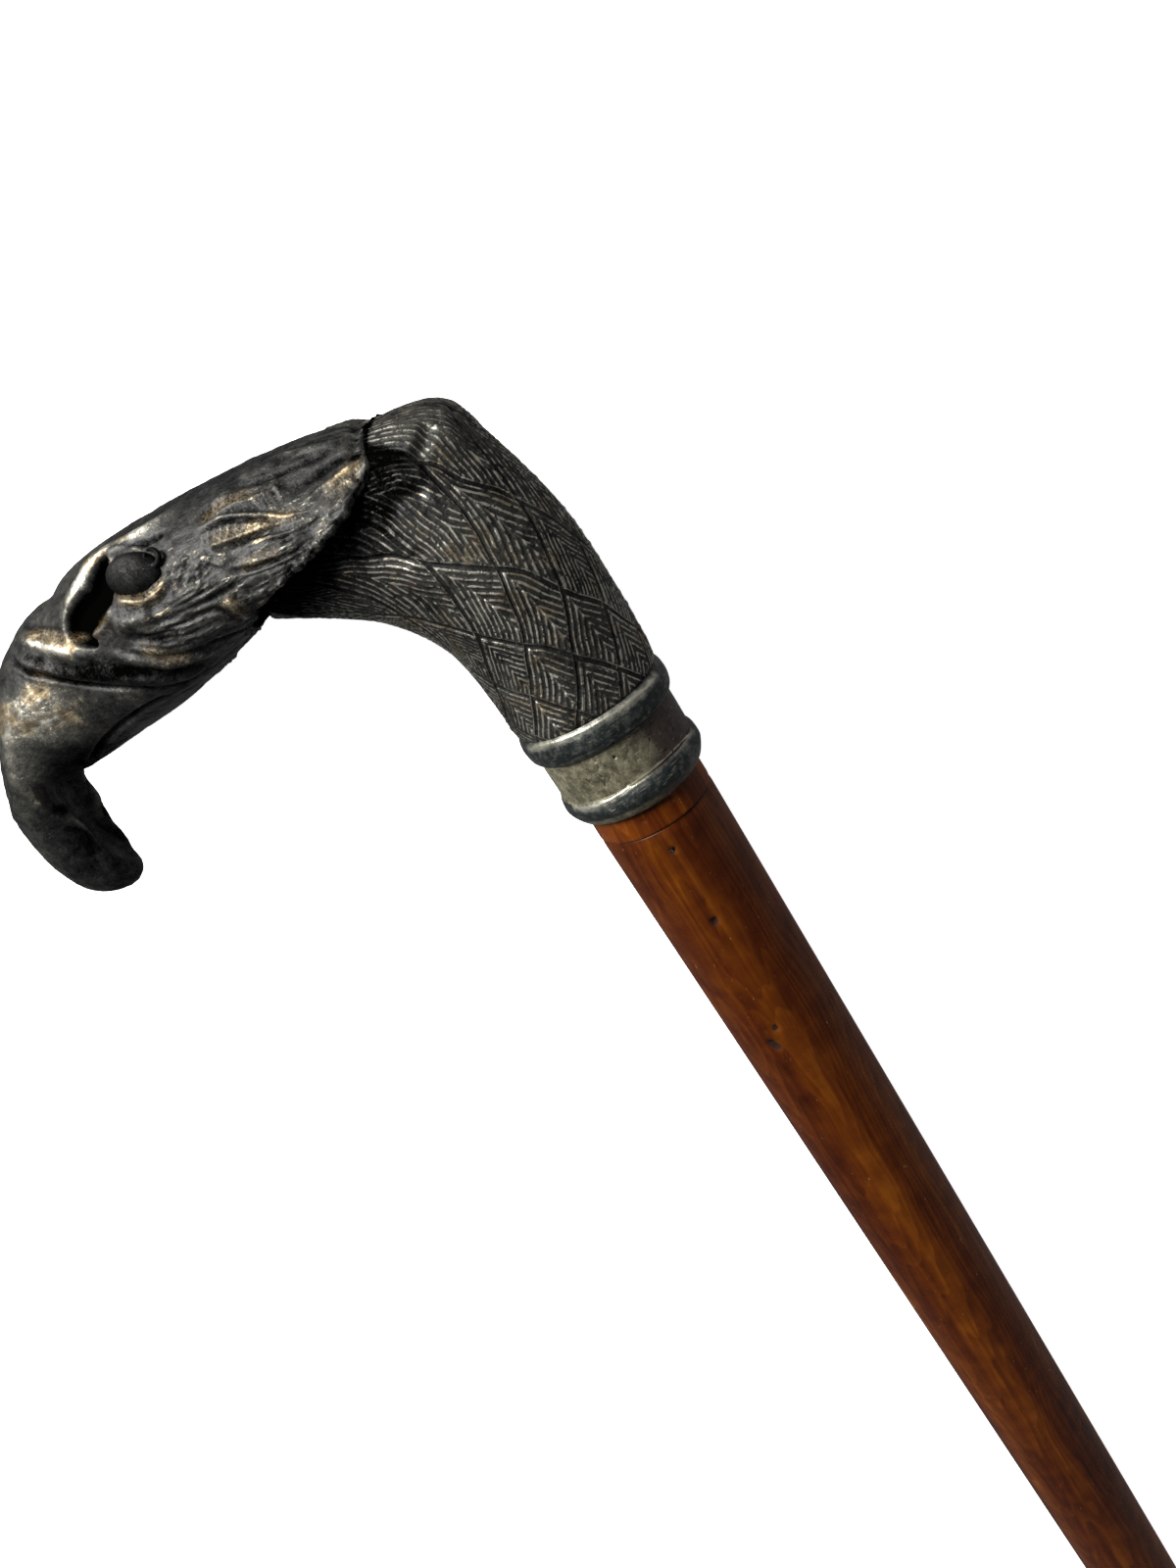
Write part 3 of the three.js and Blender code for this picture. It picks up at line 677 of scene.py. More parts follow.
collar_marks = [   # half width, height and line: the beads' edges, then cracks and dents
    (0.24, 0.16, upper_edge),
    (0.22, -0.16, [(551, 782), (567, 781), (600, 767), (640, 743), (680, 711)]),
    (0.2, 0.1, [(556, 785), (572, 783), (604, 769), (643, 745), (682, 713)]),
    (0.24, 0.14, lower_edge),
    (0.2, -0.1, [(586, 829), (605, 830), (629, 819), (653, 802), (678, 781), (697, 761)]),
    (0.2, 0.07, [(588, 834), (607, 834), (632, 823), (656, 806), (681, 785), (700, 765)]),
    (0.5, -0.4, [(626, 759)]), (0.4, -0.3, [(627, 773)]), (0.3, -0.2, [(640, 768)]),
    (0.2, -0.2, [(597, 784), (600, 789), (606, 791)]), (0.2, -0.2, [(609, 781), (612, 786)]),
    (0.2, -0.2, [(595, 795), (600, 796), (603, 799)]), (0.2, -0.2, [(611, 790), (615, 794)]),
    (0.2, -0.2, [(617, 781), (622, 784)]), (0.2, -0.2, [(606, 778), (609, 776)]),
    (0.2, -0.15, [(589, 790), (592, 797)]), (0.2, -0.15, [(616, 797), (618, 804)]),
]
collar_relief = np.zeros(len(collar_points))
for half_width, height, pixels in collar_marks:
    collar_relief += tooled(collar_points, on_collar.line(pixels), half_width, height, fade=0.12)
# Painted highlight: the beads' tone is raised along their lit edges.
bead_edge_highlight = sum(tooled(collar_points, on_collar.line(pixels), 1.1, 1.0, fade=0.05)
                 for pixels in (upper_edge, lower_edge))
band_start, band_end = -10.5, -4.9
for _ in range(150):   # hair cracks and dents all round the band
    x, turn = chance.uniform(band_start, band_end), chance.uniform(0, 2 * np.pi)
    length, lean = chance.uniform(0.5, 1.9), chance.uniform(0, 2 * np.pi)
    s = np.linspace(0, 1, 5)
    xs = x + s * length * np.cos(lean) + chance.normal(0, 0.1, 5)
    turns = turn + s * length * np.sin(lean) / collar_band_radius
    line = np.column_stack((xs, collar_band_radius * np.cos(turns),
                            collar_band_radius * np.sin(turns)))
    collar_relief -= tooled(collar_points, line, chance.uniform(0.12, 0.24),
                            chance.uniform(0.03, 0.14))
bead_crests, bead_radius, nick_radius = (-13.3, -2.4), 11.5, 11.6
for _ in range(90):   # nicks along the beads
    x, turn = chance.choice(bead_crests) + chance.normal(0, 1.0), chance.uniform(0, 2 * np.pi)
    s = np.linspace(0, 1, 4) * chance.uniform(0.5, 2.2)
    turns = turn + s / bead_radius
    line = np.column_stack((x + s * chance.normal(0, 0.25), nick_radius * np.cos(turns),
                            nick_radius * np.sin(turns)))
    collar_relief -= tooled(collar_points, line, chance.uniform(0.15, 0.35),
                            chance.uniform(0.03, 0.12))
collar_relief += 0.045 * np.array([noise.fractal(Vector(p) * 0.5, 0.8, 2.0, 3)
                                   for p in collar_points])
outer_row = np.array([0.0] + [1.0] * (len(collar_profile) - 2) + [0.0])
collar_relief *= np.repeat(outer_row, collar_sides)
collar_crest = np.repeat([r - collar_band_radius for _, r in collar_profile], collar_sides)
collar = new_piece(
    "turned_collar", worked(collar_rings, collar_relief, (collar_start, 0, 0), (-0.3, 0, 0)),
    skin_faces(len(collar_profile), collar_sides), relief=np.r_[collar_relief, 0, 0],
    crest=np.r_[collar_crest, 0, 0], rubbed=np.r_[bead_edge_highlight, 0, 0])
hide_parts("collar")
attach(collar, "root")

collar_metal = Finish("tarnished_collar_metal")
place = collar_metal.value("cane_place", "Vector")
relief, crest = collar_metal.value("relief"), collar_metal.value("crest")
clouds = collar_metal.noise(place, 0.16, 3)
mottle = collar_metal.noise(place, 0.9, 5, 0.65)
speckle = collar_metal.noise(place, 4.5, 3, 0.6)
scores = collar_metal.noise(collar_metal.stretch(place, (7, 0.5, 0.5), (0.15, 0.2, 0.1)), 1, 2)
crazed = add_node(collar_metal.tree, "ShaderNodeTexVoronoi",
                  collar_metal.stretch(place, (0.75, 0.75, 0.75)), None, 1.0,
                  feature="DISTANCE_TO_EDGE")
band = crest.step(0.35, 0.12)
tone = mottle * 0.5 + speckle * 0.25 + clouds * 0.25
band_colour = collar_metal.colours(
    tone, (0.34, (0.022, 0.020, 0.013)), (0.47, (0.095, 0.088, 0.056)),
    (0.62, (0.23, 0.215, 0.145)))
# The beads' tone carries the painted highlight along their edges.
bead_colour = collar_metal.colours(
    tone + collar_metal.value("rubbed") * 0.24, (0.36, (0.004, 0.0055, 0.006)),
    (0.5, (0.014, 0.018, 0.018)), (0.64, (0.08, 0.082, 0.072)), (0.8, (0.24, 0.235, 0.19)))
colour = collar_metal.blend(band, bead_colour, band_colour)
turned_up = collar_metal.part(place, "Y") * 0.06 - collar_metal.part(place, "Z") * 0.012
purple = (turned_up + collar_metal.noise(place, 0.22, 4, 0.6)).step(0.55, 0.78)
colour = collar_metal.blend(purple * band * 0.85, colour, (0.020, 0.0085, 0.011))
cracked = crazed.step(0.035, 0.0) * collar_metal.noise(place, 0.6, 2).step(0.5, 0.6)
colour = collar_metal.blend(cracked * band * 0.7, colour, (0.01, 0.01, 0.008))
colour = collar_metal.blend(relief.step(-0.06, -0.16), colour, (0.006, 0.006, 0.005))
# Raised lines, mostly the beads' edges, are painted bright metal as a highlight; scores are bright
# scratches.
bright = (relief.step(0.05, 0.13) + scores.step(0.64, 0.76) * 0.45).least(1.0)
colour = collar_metal.blend(bright, colour, (0.55, 0.52, 0.43))
collar_metal.set(Base_Color=colour, Metallic=bright * 0.4 + 0.55,
                 Roughness=mottle * 0.3 - bright * 0.12 + 0.27)
collar_metal.bump((mottle * 0.10, 0.5), (speckle * 0.03 + scores * 0.03, 0.7))
collar_metal.onto(collar)


# Feathered neck
# The neck of the eagle is one casting with the head, of white metal. Its feathers are cut in
# the mould as a lattice that winds round it both ways, with nested barbs in every cell.
neck_radius = 11.4
neck_half_width = 12.8
handle_rise = 51.5
handle_reach = 85.2


def in_side_view(points):
    """Outline points in hundredths of the handle's rise and reach, as places beside the shaft."""
    rise, reach = np.asarray(points, float).T
    return np.column_stack((-collar_length - rise * handle_rise / 100,
                            -reach * handle_reach / 100, np.zeros(len(rise))))


def one_row(values, shares):
    """A smooth row of single numbers, read at shares from 0 to 1."""
    return curve(np.column_stack((values, np.arange(len(values)))), shares)[:, 0]


def ovals(back, front, half_width, roundness, angle):
    """Rings between a back line and a front line: each is an oval, fuller at a low roundness."""
    up = np.sign(np.cos(angle)) * np.abs(np.cos(angle)) ** roundness
    out = np.sign(np.sin(angle)) * np.abs(np.sin(angle)) ** roundness
    middle, half = (back + front) / 2, (back - front) / 2
    rings = middle[:, None] + half[:, None] * up[None, :, None]
    rings[:, :, 2] = half_width[:, None] * out[None, :]
    return rings, up, out


def crowded(sides, crowding):
    """Angles round a ring, closer together on the left cheek than on the right one."""
    even = 2 * np.pi * np.arange(sides) / sides - np.pi / 2
    return even + crowding * np.cos(even)


def outward_of(rings):
    """The direction out of the skin at every point of its rings."""
    round_it = np.roll(rings, -1, 1) - np.roll(rings, 1, 1)
    along_it = np.gradient(rings, axis=0)
    out = np.cross(round_it, along_it)
    out *= np.sign(((rings - rings.mean(1, keepdims=True)) * out).sum())
    return out / np.maximum(np.linalg.norm(out, axis=2, keepdims=True), 1e-9)


neck_back = np.vstack(([[-collar_length, neck_radius, 0]], in_side_view(
    [(23, -13.6), (48, -12.5), (71.5, -8.7), (84.5, -5.5), (89.5, 5.8), (90, 15.8)])))
neck_front = np.vstack(([[-collar_length, -neck_radius, 0]], in_side_view(
    [(13.5, 13.5), (30.5, 14.9), (43.5, 19.9), (52.5, 27.1), (60.3, 35.2), (66, 41.6)])))
neck_width = [neck_radius / neck_half_width, 0.92, 0.96, 1, 1, 0.94, 0.8]


def neck_rings(shares, angle):
    """The rings of the neck. They draw in where the head hides them, but not at the crown."""
    width = one_row(neck_width, shares) * neck_half_width
    rings, up, out = ovals(curve(neck_back, shares), curve(neck_front, shares), width, 1, angle)
    middles = rings.mean(1, keepdims=True)
    drawn_in = 0.55 * smooth(0.85, 0.96, shares)[:, None] * (1 - smooth(0.55, 0.92, up))[None, :]
    return middles + (rings - middles) * (1 - drawn_in)[:, :, None]


neck_sides = 300
neck_angle = crowded(neck_sides, 0.32)
neck_shares = np.r_[np.linspace(0, 0.84, 290, endpoint=False), np.linspace(0.84, 1, 36)]
neck_skin = neck_rings(neck_shares, neck_angle)
neck_middles = neck_skin.mean(1)
ring_along = np.r_[0, np.cumsum(np.linalg.norm(np.diff(neck_middles, axis=0), axis=1))]
neck_along = np.repeat(ring_along, neck_sides)
neck_around = np.tile(np.degrees(neck_angle), len(neck_shares))
neck_points = neck_skin.reshape(-1, 3)
neck_out = outward_of(neck_skin).reshape(-1, 3)
on_neck = Seen(neck_rings(np.linspace(0, 1, 160), np.linspace(0, 2 * np.pi, 160, endpoint=False)))
neck_folds = [   # half width, height and line of each fold beside the head's rim
    (2.0, 0.55, [(402, 496), (418, 486), (436, 482)]),
    (1.6, -0.8, [(440, 428), (432, 452), (424, 474)]),
    (1.8, -0.6, [(390, 522), (414, 508), (440, 502)]),
    (1.4, 0.35, [(392, 540), (410, 552), (426, 566)]),
    (1.3, -0.35, [(380, 566), (404, 572), (424, 574)]),
    (1.0, 0.3, [(448, 412), (458, 440), (468, 462)]),
    (0.8, -0.3, [(458, 412), (472, 440), (484, 462)]),
]
neck_relief = np.zeros(len(neck_points))
for half_width, height, pixels in neck_folds:
    neck_relief += tooled(neck_points, on_neck.line(pixels), half_width, height)
neck_relief += np.array([noise.fractal(Vector(p) * 0.35, 0.9, 2.0, 3) for p in neck_points]) * 0.05
neck_relief = neck_relief * smooth(0, 1.4, neck_along) - 0.18 * (1 - smooth(0, 0.5, neck_along))

# The neck is painted darker behind the head's rim, a painted shadow, and the lattice is calm and
# low there.
behind_rim = on_neck.line([(398, 450), (376, 492), (346, 538), (318, 576), (284, 628)])
behind_rim_shadow = tooled(neck_points, behind_rim, 8.5, -0.9, fade=0.05)
neck_calm = tooled(neck_points, behind_rim, 10, 1.0, fade=0.05) + tooled(
    neck_points, on_neck.line([(398, 410), (430, 420), (452, 436), (474, 470)]), 8, 0.8, fade=0.1)
neck_calm = np.minimum(neck_calm, 1)

neck_around, neck_along = np.r_[neck_around, 90, 90], np.r_[neck_along, 0, ring_along[-1]]
feathered_neck = new_piece(
    "feathered_neck", with_poles((neck_points + neck_out * neck_relief[:, None]).reshape(
        neck_skin.shape)), skin_faces(len(neck_shares), neck_sides),
    rubbed=np.r_[behind_rim_shadow, 0, 0], calm=np.r_[neck_calm, 0, 0], neck_around=neck_around,
    neck_along=neck_along)

# Two numbers for the shader: degrees round the neck, which run on over the seam under the
# right cheek, and millimetres along it.
feather_map = feathered_neck.data.uv_layers.new(name="feather_map")
corner_points = np.empty(len(feathered_neck.data.loops), int)
feathered_neck.data.loops.foreach_get("vertex_index", corner_points)
corner_around, corner_along = neck_around[corner_points], neck_along[corner_points]
for polygon in feathered_neck.data.polygons:
    corners = slice(polygon.loop_start, polygon.loop_start + polygon.loop_total)
    if np.ptp(corner_around[corners]) > 180:
        corner_around[corners] += np.where(corner_around[corners] < 90, 360, 0)
feather_map.data.foreach_set("uv", np.column_stack((corner_around, corner_along)).ravel())

lattice_rows = 8      # feather edges that wind one way round the neck
lattice_columns = 10  # and the other way
row_start, row_lean, row_bend = 12.5, 5.1, 0.0555   # degrees, then degrees to the millimetre
column_start, column_lean, column_bend = 131.4, 3.096, 0.0263
cell_width, cell_length = 6.2, 5.9    # one feather beside the collar, and how much it grows
width_gain, length_gain = 0.12, 0.065
barb_pitch = 0.76
barb_height = 0.13
edge_depth = 0.07
lattice_seed = 3.0


def feathers(tree, around, along, place, rows, columns, pitch, seed):
    """The lattice of feathers at a place: its barbs, quills, raised edges, grooves and the slope
    of one feather over the next, each from 0 to 1. The feathers are larger up the neck."""
    sway = add_node(tree, "ShaderNodeTexNoise", place, None, 0.10, 1.0)
    ripple = add_node(tree, "ShaderNodeTexNoise", place, None, 0.55, 1.0)
    bend = (sway - 0.5) * 0.28 + (ripple - 0.5) * 0.02
    row = (around - along * row_lean + along * along * row_bend + row_start) * rows / 360 + bend
    column = (around + along * column_lean - along * along * column_bend
              - column_start) * columns / 360 - bend
    width, length = along * width_gain + cell_width, along * length_gain + cell_length
    across, down = row.math("FRACT") * width, (column * -1).math("FRACT") * length
    across_left, down_left = width - across, length - down
    cell = add_node(tree, "ShaderNodeCombineXYZ", row.math("FLOOR").math("FLOORED_MODULO", rows),
                    column.math("FLOOR").math("FLOORED_MODULO", columns), seed)
    draw = add_node(tree, "ShaderNodeTexWhiteNoise", cell)
    inside, rest = across.least(down), across_left.least(down_left)
    turned_off = (across - down).math("ABSOLUTE")
    shaky = (ripple - 0.5) * 0.12
    stripe = ((inside + shaky) / (pitch * (draw * 0.35 + 0.85)) + draw).math("FRACT")
    ridge = 1 - (stripe * 2 - 1).math("ABSOLUTE")
    broken = add_node(tree, "ShaderNodeTexNoise", place, None, 0.9, 2.0)
    within = inside.step(0.75, 0.9) * rest.step(0.1, 0.35) * broken.step(0.3, 0.42)
    barbs = ridge.step(0.4, 0.9) * within
    quill = turned_off.step(0.4, 0.1) * inside.step(0.6, 0.9) * draw.step(0.35, 0.6)
    edges = (inside - 0.7).math("ABSOLUTE").step(0.15, 0.04).most(
        (rest - 0.1).math("ABSOLUTE").step(0.12, 0.03) * 0.8)
    groove = inside.step(0.6, 0.45)
    slope = (across + down) / (width + length)
    return barbs, quill, edges, groove, slope


# The tree raises those marks out of the skin. It keeps how far each point went, for its wear.
neck_tree = bpy.data.node_groups.new("feather_lattice", "GeometryNodeTree")
sockets = neck_tree.interface
sockets.new_socket("Geometry", in_out="INPUT", socket_type="NodeSocketGeometry")
settings = {}
for label, value in (
        ("Rows Round The Neck", lattice_rows), ("Columns Round The Neck", lattice_columns),
        ("Barb Pitch", barb_pitch), ("Barb Height", barb_height), ("Edge Depth", edge_depth),
        ("Seed", lattice_seed)):
    made = sockets.new_socket(label, in_out="INPUT", socket_type="NodeSocketFloat")
    settings[made.identifier] = float(value)
sockets.new_socket("Geometry", in_out="OUTPUT", socket_type="NodeSocketGeometry")
entry = neck_tree.nodes.new("NodeGroupInput")
leave = neck_tree.nodes.new("NodeGroupOutput")
rows, columns, pitch, height, depth, seed = (Wire(entry.outputs[i]) for i in range(1, 7))


def read(name, kind="FLOAT"):
    return add_node(neck_tree, "GeometryNodeInputNamedAttribute", name, data_type=kind)


along = read("neck_along")
barbs, quill, edges, groove, slope = feathers(
    neck_tree, read("neck_around"), along, read("cane_place", "FLOAT_VECTOR"), rows, columns,
    pitch, seed)
free_of_collar = along.step(0.3, 1.6)
rise = (barbs * height + quill * height * 0.8 + edges * height * 0.7 - groove * depth
        + (slope - 0.5) * depth * 1.3) * free_of_collar * (1 - read("calm") * 0.55)
offset = add_node(neck_tree, "ShaderNodeVectorMath",
                  add_node(neck_tree, "GeometryNodeInputNormal"), operation="SCALE")
neck_tree.links.new((rise * MM).socket, offset.socket.node.inputs["Scale"])
kept = add_node(neck_tree, "GeometryNodeStoreNamedAttribute", Wire(entry.outputs[0]), None,
                "relief", rise, data_type="FLOAT", domain="POINT")
moved = add_node(neck_tree, "GeometryNodeSetPosition", kept, None, None, offset)
real = add_node(neck_tree, "GeometryNodeRealizeInstances", moved)
painted = add_node(neck_tree, "GeometryNodeSetMaterial", real)
neck_tree.links.new(painted.socket, leave.inputs[0])


def cast_metal(name, marks=None, wear=2.0, grain=1.0, base=0.2, strokes=0.0):
    """Old white metal as it was cast: a dark patina in the hollows, grey skin between them, and
    bright, slightly golden metal on the high parts that hands and cloths have polished. An
    attribute adds wear, painted highlights and painted shade at given places, and fine specks
    are painted glints. Strokes are the fine scratched strands that run from the beak to the crown."""
    metal = Finish(name)
    place = metal.value("cane_place", "Vector")
    relief = metal.value("relief")
    clouds = metal.noise(place, 0.13, 3)
    mottle = metal.noise(place, 0.75, 5, 0.62)
    grit = metal.noise(place, 3.6, 4, 0.65)
    scratch = metal.noise(metal.stretch(place, (0.7, 5.5, 5.5), (0.2, 0.3, 0.75)), 1.3, 2, 0.5)
    scratch_back = metal.noise(metal.stretch(place, (6.0, 0.8, 6.0), (0.1, 0.2, 0.5)), 1.1, 2, 0.5)
    scored = scratch.step(0.60, 0.74).most(scratch_back.step(0.63, 0.76))
    # Tone: wear on the relief, patina noise, and an attribute of wear, painted highlights and
    # painted shade.
    tone_from_wear_and_light = ((relief * wear).least(0.3).most(-0.35) + (mottle + grit - 1) * grain
            + (clouds - 0.5) * 0.9 + metal.value("rubbed") + base)
    # Scratches are bright metal; the bright grit specks are painted glints.
    tone_from_wear_and_light = tone_from_wear_and_light + scored * 0.24 + grit.step(0.6, 0.72) * 0.16
    strand = metal.noise(metal.stretch(place, (1.9, 0.26, 1.9)), 1.0, 3, 0.6, 0.5)
    hatch = metal.noise(metal.stretch(place, (4.6, 0.62, 4.6)), 1.0, 3, 0.6, 0.4)
    thinned = metal.noise(place, 0.24, 3).step(0.36, 0.6) * 0.8 + 0.2
    drawn = ((strand.step(0.5, 0.66) * 0.55 + hatch.step(0.55, 0.68) * 0.6) * strokes
             * thinned * metal.value("stranded"))
    tone_from_wear_and_light = tone_from_wear_and_light + drawn * 0.68
    # Painted glints: bright specks on the lighter metal.
    painted_glints = metal.noise(place, 5.5, 2, 0.5).step(0.63, 0.7) * tone_from_wear_and_light.step(0.38, 0.6)
    tone_from_wear_and_light = tone_from_wear_and_light + painted_glints * 0.35
    if marks:
        tone_from_wear_and_light = tone_from_wear_and_light + marks(metal)
    colour = metal.colours(
        tone_from_wear_and_light, (0.0, (0.0005, 0.0005, 0.0004)), (0.32, (0.018, 0.018, 0.0155)),
        (0.55, (0.064, 0.063, 0.054)), (0.82, (0.19, 0.183, 0.155)), (1.0, (0.44, 0.42, 0.36)))
    golden = metal.value("golden")
    gold = ((metal.noise(place, 0.2, 3) + golden * 0.3).step(0.52, 0.64)
            * (tone_from_wear_and_light + golden * 0.2).step(0.4, 0.7) + golden * grit.step(0.35, 0.6) * 0.6)
    gold_colour = metal.colours(mottle, (0.3, (0.075, 0.05, 0.024)), (0.5, (0.21, 0.15, 0.075)),
                                (0.72, (0.50, 0.44, 0.31)))
    colour = metal.blend(gold.least(1.0) * 0.75, colour, gold_colour)
    rust = metal.noise(place, 0.28, 3).step(0.66, 0.74) * tone_from_wear_and_light.step(0.0, 0.3)
    colour = metal.blend(rust * 0.35, colour, (0.05, 0.018, 0.008))
    dull = tone_from_wear_and_light.step(0.1, -0.5) * 0.3 - tone_from_wear_and_light.step(0.5, 1.0) * 0.12
    metal.set(Base_Color=colour, Metallic=tone_from_wear_and_light.step(-0.1, 0.8) * 0.9,
              Roughness=mottle * 0.2 + dull + 0.38,
              Specular_IOR_Level=tone_from_wear_and_light.step(-0.6, 0.35) * 0.4)
    metal.bump((mottle * 0.15 + clouds * 0.1, 0.6 * grain),
               (grit * 0.075 + scored * 0.02 + drawn * 0.05, 0.85 * grain))
    return metal


def neck_marks(metal):
    """The lattice's own fine lines, drawn again where the skin's mesh is too coarse for them."""
    on_map = add_node(metal.tree, "ShaderNodeUVMap", uv_map="feather_map")
    place = metal.value("cane_place", "Vector")
    barbs, quill, edges, groove, _ = feathers(
        metal.tree, metal.part(on_map, "X"), metal.part(on_map, "Y"), place, lattice_rows,
        lattice_columns, barb_pitch, lattice_seed)
    gaps = metal.noise(place, 1.1, 2).step(0.32, 0.55)
    patches = metal.noise(place, 0.16, 2).step(0.32, 0.62) * 0.9 + 0.6
    drawn = (barbs.math("POWER", 1.8) * 1.2 + quill * 0.4 + edges * 0.9) * gaps * patches
    return drawn * (1 - metal.value("calm") * 0.75) - groove * 0.12 - 0.03


neck_metal = cast_metal("cast_feather_metal", marks=neck_marks, wear=0.5)
painted.socket.node.inputs["Material"].default_value = neck_metal.material
lattice = feathered_neck.modifiers.new("feather_lattice", "NODES")
lattice.node_group = neck_tree
for identifier, value in settings.items():
    lattice[identifier] = value
view = bpy.context.evaluated_depsgraph_get()
raised = bpy.data.meshes.new_from_object(feathered_neck.evaluated_get(view),
                                         preserve_all_data_layers=True, depsgraph=view)
feathered_neck.modifiers.remove(lattice)
plain, feathered_neck.data = feathered_neck.data, raised
bpy.data.meshes.remove(plain)
raised.name = "feathered_neck"

flat = np.empty(len(raised.vertices) * 3)
raised.vertices.foreach_get("co", flat)
raised.vertices.foreach_set("co", in_box(flat.reshape(-1, 3)).ravel())
raised.update()
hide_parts("eagle_head_handle")
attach(feathered_neck, "root")


# Eagle's head
# The head, its ruff of loose feathers and the hooked beak are cast with the neck, of the same
# metal. The ruff ends in a rolled rim that stands off the neck; the mouth is closed and the
# hook's inside is hollow.
ruff_half_width = 15
hook_hollow = 4.2
ruff_undercut = 7
ruff_overhang = 3.7
head_back = in_side_view([
    (89.3, 3.9), (93.5, 12.8), (96.4, 21.9), (98.4, 32), (99.6, 42.3), (100, 52), (98.9, 59.5),
    (95.9, 64.9), (95.5, 69.3), (93.3, 74), (87.7, 80.9), (80.2, 85.7), (71, 90.6), (61.2, 95.1),
    (50.6, 98.6), (39.3, 99.5), (28.6, 98.9), (20.8, 96.5), (17.2, 93), (16.2, 90.2)])
head_front = in_side_view([
    (61.4, 39.1), (59.2, 43.5), (57.2, 48.6), (55.6, 53.8), (54.5, 58.6), (54, 63), (53.8, 66.7),
    (53.4, 70.2), (53, 73.7), (52.8, 76.9), (52.6, 79.4), (52.4, 81), (51.9, 82.5), (50.3, 83.1),
    (46.8, 83.6), (40.1, 84.7), (32.3, 85.8), (25.8, 86.3), (20.6, 86.6), (17.8, 87.3)])
head_width = [1, 1, 0.99, 0.965, 0.93, 0.86, 0.75, 0.68, 0.655, 0.64, 0.6, 0.56, 0.52, 0.47,
              0.425, 0.385, 0.335, 0.27, 0.19, 0.1]
head_spoon = [0] * 11 + [0.1, 0.5, 1, 1, 0.9, 0.6, 0.25, 0, 0]
head_keel = [0] * 7 + [0.05, 0.1, 0.18, 0.24, 0.28, 0.3, 0.3, 0.28, 0.25, 0.2, 0.1, 0, 0]
rim_rings = [(7, 0.3), (5, 0.47), (3.5, 0.62), (2.4, 0.72), (1.4, 0.81), (0.7, 0.87),
             (0.3, 0.91), (0.02, 0.945), (-0.1, 0.97), (-0.05, 0.99), (0.12, 1.005), (0.35, 1.018),
             (0.6, 1.027)]


def head_rings(shares, angle):
    """The rings of the head, from inside the ruff's rim to the tip of the beak."""
    back, front = curve(head_back, shares), curve(head_front, shares)
    width = one_row(head_width, shares) * ruff_half_width
    rings, up, out = ovals(back, front, width, 0.9, angle)
    rings[:, :, 2] *= 1 - one_row(head_keel, shares)[:, None] * np.maximum(up, 0)[None, :] ** 2
    scoop = np.maximum(one_row(head_spoon, shares), 0) * hook_hollow
    inward = back - front
    inward /= np.linalg.norm(inward, axis=1)[:, None]
    hollow = scoop[:, None] * (np.maximum(-up, 0) ** 2 * (1 - out ** 2))[None, :]
    rings += inward[:, None] * hollow[:, :, None]
    forward = np.array((head_front[0, 1] - head_back[0, 1], head_back[0, 0] - head_front[0, 0], 0))
    forward /= np.linalg.norm(forward)
    over_neck = ruff_overhang * smooth(-0.75, 0.45, up) * (1 - smooth(0.7, 0.97, up))
    unsettled = 1 - smooth(0, 0.14, shares)
    rings -= forward * (over_neck[None, :] * unsettled[:, None])[:, :, None]
    first = ovals(head_back[:1], head_front[:1], np.array([ruff_half_width]), 0.9, angle)[0][0]
    middle = (head_back[0] + head_front[0]) / 2
    rim = []
    for ahead, share in rim_rings:
        kept = share + (1 - share) * np.abs(up) ** 4 if share > 1 else np.full(len(up), share)
        back_over = over_neck * (1 - max(ahead, 0) / ruff_undercut)
        rim.append((first - middle) * kept[:, None] + middle
                   + forward * (ahead - back_over)[:, None])
    return np.concatenate((rim, rings))


# The rings lie closest together on the face, and half as close on the beak.
trial = np.linspace(0.012, 1, 3000)
trial_back, trial_front = curve(head_back, trial), curve(head_front, trial)
trial_steps = sum(np.linalg.norm(np.diff(line, axis=0), axis=1)
                  for line in ((trial_back + trial_front) / 2, trial_back))
fineness = np.interp(trial[1:], [0, 0.42, 0.55, 0.8, 1], [1.0, 1.0, 0.75, 0.5, 0.5])
run = np.r_[0, np.cumsum(trial_steps * fineness)]
head_ring_count, head_sides = 300, 316
head_shares = np.interp(np.linspace(0, run[-1], head_ring_count), run, trial)
head_angle = crowded(head_sides, 0.3)
head_skin = head_rings(head_shares, head_angle)
head_rows = len(head_skin)
head_points = head_skin.reshape(-1, 3)
head_out = outward_of(head_skin).reshape(-1, 3)
on_head = Seen(head_rings(np.linspace(0.004, 1, 240), np.linspace(
    0, 2 * np.pi, 180, endpoint=False))[len(rim_rings):])
both_cheeks = np.column_stack((head_points[:, :2], np.abs(head_points[:, 2])))
head_relief = np.zeros(len(head_points))


def press(half_width, height, pixels, shape="round", fade=0.25):
    """A mark on both cheeks, along a line of the photograph's pixels."""
    head_relief[:] += tooled(both_cheeks, on_head.line(pixels), half_width, height, shape, fade)


def dished(depth, pixels, half_widths):
    """A hollow on both cheeks whose width changes along a line; gives back where it lies."""
    line = on_head.line(pixels, 2.0)
    widths = np.interp(np.linspace(0, 1, len(line)), np.linspace(0, 1, len(half_widths)),
                       half_widths)
    reach = np.full(len(both_cheeks), 9.0)
    for point, width in zip(line, widths):
        reach = np.minimum(reach, np.linalg.norm(both_cheeks - point, axis=1) / width)
    head_relief[:] += depth * (1 - smooth(0.5, 1.05, reach))
    return 1 - smooth(0.62, 1.0, reach)


def resampled(pixels, count):
    """The smooth line through some pixels, as another number of them."""
    return curve(pixels, np.linspace(0, 1, count))


